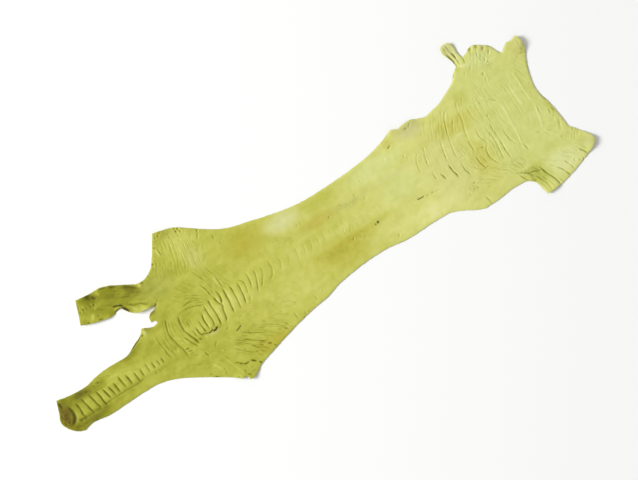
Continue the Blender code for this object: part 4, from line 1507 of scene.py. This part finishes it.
@dataclass
class SmallScales:
    """The small round scales between the plates, raised over the whole grain side by Geometry Nodes."""

    width: float = SCALE_WIDTH
    height: float = 0.26
    dome_reach: float = 0.32
    seed: int = SCALE_SEED

    def tree(self, finishes: dict[Side, bpy.types.Material]) -> bpy.types.NodeTree:
        """Builds the tree.

        Args:
            finishes: The material of each side of the leather.

        Returns:
            The tree, whose inputs are Scale width, Scale height and Seed.
        """
        tree = bpy.data.node_groups.new("small_scales", "GeometryNodeTree")
        for name, way, kind in (
            ("Geometry", "INPUT", "NodeSocketGeometry"), ("Scale width", "INPUT", "NodeSocketFloat"),
            ("Scale height", "INPUT", "NodeSocketFloat"), ("Seed", "INPUT", "NodeSocketInt"),
            ("Geometry", "OUTPUT", "NodeSocketGeometry"),
        ):
            tree.interface.new_socket(name, in_out=way, socket_type=kind)
        given = add_node(tree, "NodeGroupInput").outputs
        here = add_node(tree, "GeometryNodeInputPosition")
        share = add_node(tree, "GeometryNodeInputNamedAttribute", {"Name": "scaled"}, data_type="FLOAT")
        surface = add_node(tree, "GeometryNodeInputNamedAttribute", {"Name": "surface"}, data_type="INT")

        shift = add_node(tree, "ShaderNodeMath", {0: given["Seed"], 1: MOVE_PER_SEED}, operation="MULTIPLY")
        place = add_node(tree, "ShaderNodeVectorMath", {0: here.outputs[0], 1: shift.outputs[0]},
                         operation="ADD")
        density = add_node(tree, "ShaderNodeMath", {0: 1.0, 1: given["Scale width"]}, operation="DIVIDE")
        cells = add_node(tree, "ShaderNodeTexVoronoi",
                         {"Vector": place.outputs[0], "Scale": density.outputs[0], "Randomness": 1.0},
                         voronoi_dimensions="2D", feature="DISTANCE_TO_EDGE")
        dome = add_node(tree, "ShaderNodeMapRange", {
            "Value": cells.outputs["Distance"], "From Max": self.dome_reach},
            interpolation_type="SMOOTHERSTEP")
        raised = add_node(tree, "ShaderNodeMath", {
            0: dome.outputs["Result"], 1: share.outputs["Attribute"]}, operation="MULTIPLY")
        rise = add_node(tree, "ShaderNodeMath", {0: raised.outputs[0], 1: given["Scale height"]},
                        operation="MULTIPLY")
        offset = add_node(tree, "ShaderNodeCombineXYZ", {"Z": rise.outputs[0]})
        moved = add_node(tree, "GeometryNodeSetPosition", {
            "Geometry": given["Geometry"], "Offset": offset.outputs[0]})
        shape = add_node(tree, "GeometryNodeRealizeInstances", {"Geometry": moved.outputs[0]})
        for side, finish in finishes.items():
            chosen = add_node(tree, "FunctionNodeCompare", {2: surface.outputs["Attribute"], 3: side.value},
                              data_type="INT", operation="EQUAL")
            shape = add_node(tree, "GeometryNodeSetMaterial", {
                "Geometry": shape.outputs[0], "Selection": chosen.outputs[0], "Material": finish})
        add_node(tree, "NodeGroupOutput", {0: shape.outputs[0]})
        return tree

    def raise_on(self, sheet: bpy.types.Object, finishes: dict[Side, bpy.types.Material]) -> None:
        """Raises the scales on a sheet and leaves it a plain mesh.

        Args:
            sheet: The sheet, with the values scaled on its points and surface on its faces.
            finishes: The material of each side of the leather.
        """
        modifier = sheet.modifiers.new("small_scales", "NODES")
        modifier.node_group = self.tree(finishes)
        values = {"Scale width": self.width * MM, "Scale height": self.height * MM, "Seed": self.seed}
        for item in modifier.node_group.interface.items_tree:
            if item.item_type == "SOCKET" and item.in_out == "INPUT" and item.name in values:
                modifier[item.identifier] = values[item.name]
        seen = sheet.evaluated_get(bpy.context.evaluated_depsgraph_get())
        raised = bpy.data.meshes.new_from_object(seen)
        sheet.modifiers.remove(modifier)
        plain = sheet.data
        sheet.data = raised
        bpy.data.meshes.remove(plain)
        raised.name = sheet.name


@dataclass
class LegSkin:
    """The skin itself: one closed sheet with a grain side, a cut edge and a flesh side."""

    name: str = "leg_skin"
    flat_width: float = 0.211
    flat_length: float = 0.700
    rim_clearance: float = 0.75
    row_step: float = 1.15
    row_offsets: tuple[float, ...] = (0.0, 0.6, 1.15, 1.9)
    row_gap: float = 0.5
    grain_pitch: float = 1.28
    flesh_pitch: float = 3.4
    crowding: float = 0.72
    lattice_shake: float = 0.12
    lattice_seed: int = 3
    edge_bulge: float = 0.12
    sharp_angle: float = 55.0
    outline: CutOutline = field(default_factory=CutOutline)
    relief: GrainRelief = field(default_factory=GrainRelief)
    scales: SmallScales = field(default_factory=SmallScales)

    def lattice(self, ring: np.ndarray, pitch: float) -> np.ndarray:
        """A triangular lattice over the outline's box, slightly shaken.

        Args:
            ring: The outline.
            pitch: How far apart the points lie.

        Returns:
            The points, one row each.
        """
        low, high = ring.min(0), ring.max(0)
        rows = []
        for j, y in enumerate(np.arange(low[1], high[1], pitch * math.sqrt(3) / 2)):
            x = np.arange(low[0] + (j % 2) * pitch / 2, high[0], pitch)
            rows.append(np.stack([x, np.full(len(x), y)], axis=1))
        points = np.concatenate(rows)
        dice = np.random.default_rng(self.lattice_seed)
        return points + dice.uniform(-self.lattice_shake, self.lattice_shake, points.shape) * pitch

    def within(self, ring: np.ndarray, places: np.ndarray) -> np.ndarray:
        """Keeps the places that lie inside the outline.

        Args:
            ring: The outline.
            places: The places, one row each.

        Returns:
            The places that are inside.
        """
        x, y = places.T
        crossed = np.zeros(len(places), bool)
        for (ax, ay), (bx, by) in zip(ring, np.roll(ring, -1, axis=0)):
            if ay != by:
                crossed ^= ((ay > y) != (by > y)) & (x < ax + (y - ay) * (bx - ax) / (by - ay))
        return places[crossed]

    def crease_rows(self) -> np.ndarray:
        """Rows of points along every crease and scar, closer than the lattice. Returns them, one row each."""
        relief = self.relief
        numbered = [*enumerate(relief.creases), *enumerate(CUTS_AND_SHADED_FOLDS, relief.first_scar)]
        rows = []
        for offset in self.row_offsets:
            for number, crease in numbered:
                line = smooth_through(relief.drawn(number, crease), self.row_step)
                across = left_of(line) * offset * crease.width * relief.slimness
                rows.append(line + across)
                if offset:
                    rows.append(line - across)
        return np.concatenate(rows)

    def spaced(self, ring: np.ndarray, wanted: tuple[tuple[np.ndarray, float], ...]) -> np.ndarray:
        """Picks points in order of need, so that none crowds the outline or another.

        Args:
            ring: The outline.
            wanted: The groups of points, each with the least gap that it keeps.

        Returns:
            The points that are kept, one row each.
        """
        rim = rim_tree(ring)
        taken: dict[tuple[int, int], list[Point]] = {}
        kept = []
        for places, gap in wanted:
            reach = math.ceil(gap)
            for x, y in self.within(ring, places).tolist():
                if rim.find((x, y, 0.0))[2] < self.rim_clearance:
                    continue
                column, row = math.floor(x), math.floor(y)
                crowd = (
                    (px - x) ** 2 + (py - y) ** 2 < gap * gap
                    for i in range(column - reach, column + reach + 1)
                    for j in range(row - reach, row + reach + 1)
                    for px, py in taken.get((i, j), ())
                )
                if any(crowd):
                    continue
                taken.setdefault((column, row), []).append((x, y))
                kept.append((x, y))
        return np.array(kept, float)

    def filled(self, ring: np.ndarray, inner: np.ndarray) -> tuple[np.ndarray, np.ndarray]:
        """Fills the outline with triangles.

        Args:
            ring: The outline.
            inner: The points inside it.

        Returns:
            All points, the outline's first, and the triangles as rows of three numbers.
        """
        flat = [Vector(p) for p in np.concatenate([ring, inner])]
        found = delaunay_2d_cdt(flat, [], [list(range(len(ring)))], KEEP_INSIDE, MERGE_GAP)
        if len(found[0]) != len(flat):
            raise ValueError("the outline crosses itself or two points fall together")
        return np.array([tuple(p) for p in found[0]], float), np.array(found[2], int)

    def mesh(self) -> bpy.types.Mesh:
        """Builds the closed sheet. Returns its mesh, in metres, with the values that the finishes read."""
        ring = self.outline.ring()
        inner = self.spaced(ring, (
            (self.crease_rows(), self.row_gap),
            (self.lattice(ring, self.grain_pitch), self.crowding * self.grain_pitch),
        ))
        top, top_faces = self.filled(ring, inner)
        under = self.spaced(ring, ((self.lattice(ring, self.flesh_pitch), self.crowding * self.flesh_pitch),))
        low, low_faces = self.filled(ring, under)

        count = len(ring)
        rim = rim_tree(ring)
        gaps = np.array([rim.find((x, y, 0.0))[2] for x, y in top.tolist()])
        gaps[:count] = 0.0
        values = self.relief.measured(top, gaps) | self.relief.dyed(top)
        # The dye depth takes the crease darkening, which is pooled dye and painted shade, and the painted
        # highlight on ridge crests.
        values["dye_and_painted_light"] = np.clip(values["dye_and_painted_light"] + values.pop("painted_light_and_pooled_dye"), 0.0, 1.0)
        lift = self.relief.lift(top)
        heights = lift + values.pop("height")
        values["scaled"] = self.relief.scaled(top, gaps)

        middle = ring + outward_of(ring) * self.edge_bulge
        points = np.concatenate([
            np.column_stack([top, heights]),
            np.column_stack([middle, (heights[:count] + lift[:count]) / 2]),
            np.column_stack([low, self.relief.lift(low)]),
        ]) * MM
        here = np.arange(count)
        after = np.roll(here, -1)
        mid, bottom = len(top), len(top) + count
        upper = np.stack([mid + here, mid + after, after, here], axis=1)
        lower = np.stack([bottom + here, bottom + after, mid + after, mid + here], axis=1)
        grain, flesh = top_faces.tolist(), (low_faces[:, ::-1] + bottom).tolist()
        sides = [Side.GRAIN.value, Side.CUT_EDGE.value, Side.FLESH.value]
        surface = np.repeat(sides, [len(grain), 2 * count, len(flesh)])

        mesh = bpy.data.meshes.new(self.name)
        mesh.from_pydata(points.tolist(), [], grain + upper.tolist() + lower.tolist() + flesh)
        for name, given in values.items():
            full = np.zeros(len(points))
            full[:len(top)] = given
            mesh.attributes.new(name, "FLOAT", "POINT").data.foreach_set("value", full)
        mesh.attributes.new("surface", "INT", "FACE").data.foreach_set("value", surface.astype(np.int32))
        mesh.shade_smooth()
        mesh.set_sharp_from_angle(angle=math.radians(self.sharp_angle))
        mesh.update()
        return mesh

    def flat_area(self) -> float:
        """The area of the cut skin, in square metres."""
        x, y = self.outline.ring().T * MM
        return float(abs(np.dot(x, np.roll(y, -1)) - np.dot(y, np.roll(x, -1))) / 2)

    def build(self) -> bpy.types.Object:
        """Builds and dresses the skin and ties it to the model. Returns its object."""
        sheet = put_in_scene(self.name, self.mesh())
        finishes = {
            Side.GRAIN: DyedGrain().material(),
            Side.CUT_EDGE: RawEdge().material(),
            Side.FLESH: FleshSide().material(),
        }
        sheet.data.materials.append(finishes[Side.GRAIN])
        self.scales.raise_on(sheet, finishes)
        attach(sheet, "root")
        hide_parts("skin")
        self.flat_area()
        LOG.info("%s: %d faces, %d points", sheet.name, len(sheet.data.polygons), len(sheet.data.vertices))
        return sheet


@dataclass
class Studio:
    """The table, the light and the camera: white paper, one large soft light and bright walls."""

    middle: Point = (15.86, -10.17)
    view_width: float = 740.3
    lens: float = 200.0
    sensor: float = 36.0
    farthest: float = 50.0
    turn: float = -32.0
    key_power: float = 342.0
    key_size: float = 2.6
    key_distance: float = 6.0
    key_height: float = 36.0
    walls: float = 0.48
    floor_size: float = 8.0

    def camera(self) -> bpy.types.Object:
        """Puts the camera straight above the skin, turned as in the picture. Returns it."""
        data = bpy.data.cameras.new("overhead_camera")
        data.lens = self.lens
        data.sensor_width = self.sensor
        data.clip_end = self.farthest
        camera = put_in_scene("overhead_camera", data)
        height = self.view_width * self.lens / self.sensor * MM
        camera.location = (self.middle[0] * MM, self.middle[1] * MM, height)
        camera.rotation_euler = (0.0, 0.0, math.radians(self.turn))
        bpy.context.scene.camera = camera
        return camera

    def key_light(self) -> bpy.types.Object:
        """Hangs the large soft light to the left of the picture. Returns it."""
        data = bpy.data.lights.new("soft_key", "AREA")
        data.shape = "SQUARE"
        data.size = self.key_size
        data.energy = self.key_power
        light = put_in_scene("soft_key", data)
        turn, height = math.radians(180 + self.turn), math.radians(self.key_height)
        flat = math.cos(height)
        away = Vector((math.cos(turn) * flat, math.sin(turn) * flat, math.sin(height)))
        light.location = away * self.key_distance
        light.rotation_euler = away.to_track_quat("Z", "Y").to_euler()
        light.visible_camera = False
        return light

    def bright_walls(self) -> None:
        """Gives the room its even light."""
        world = bpy.data.worlds.new("bright_walls")
        world.use_nodes = True
        back = world.node_tree.nodes["Background"]
        back.inputs["Color"].default_value = (1.0, 1.0, 1.0, 1.0)
        back.inputs["Strength"].default_value = self.walls
        bpy.context.scene.world = world

    def floor(self) -> bpy.types.Object:
        """Lays the white paper under the skin. Returns it."""
        half = self.floor_size / 2
        mesh = bpy.data.meshes.new("background_paper")
        corners = [(-half, -half, 0.0), (half, -half, 0.0), (half, half, 0.0), (-half, half, 0.0)]
        mesh.from_pydata(corners, [], [(0, 1, 2, 3)])
        mesh.materials.append(StudioPaper().material())
        paper = put_in_scene("background_paper", mesh)
        return paper

    def build(self) -> None:
        """Sets up the whole studio."""
        self.camera()
        self.key_light()
        self.bright_walls()
        self.floor()
        bpy.context.scene.view_settings.view_transform = "Standard"
        LOG.info("studio: camera, light and floor")


def main() -> None:
    """Builds the skin and the studio."""
    logging.basicConfig(level=logging.INFO, format="%(name)s: %(message)s")
    Studio().build()
    LegSkin().build()


if __name__ == "__main__":
    main()
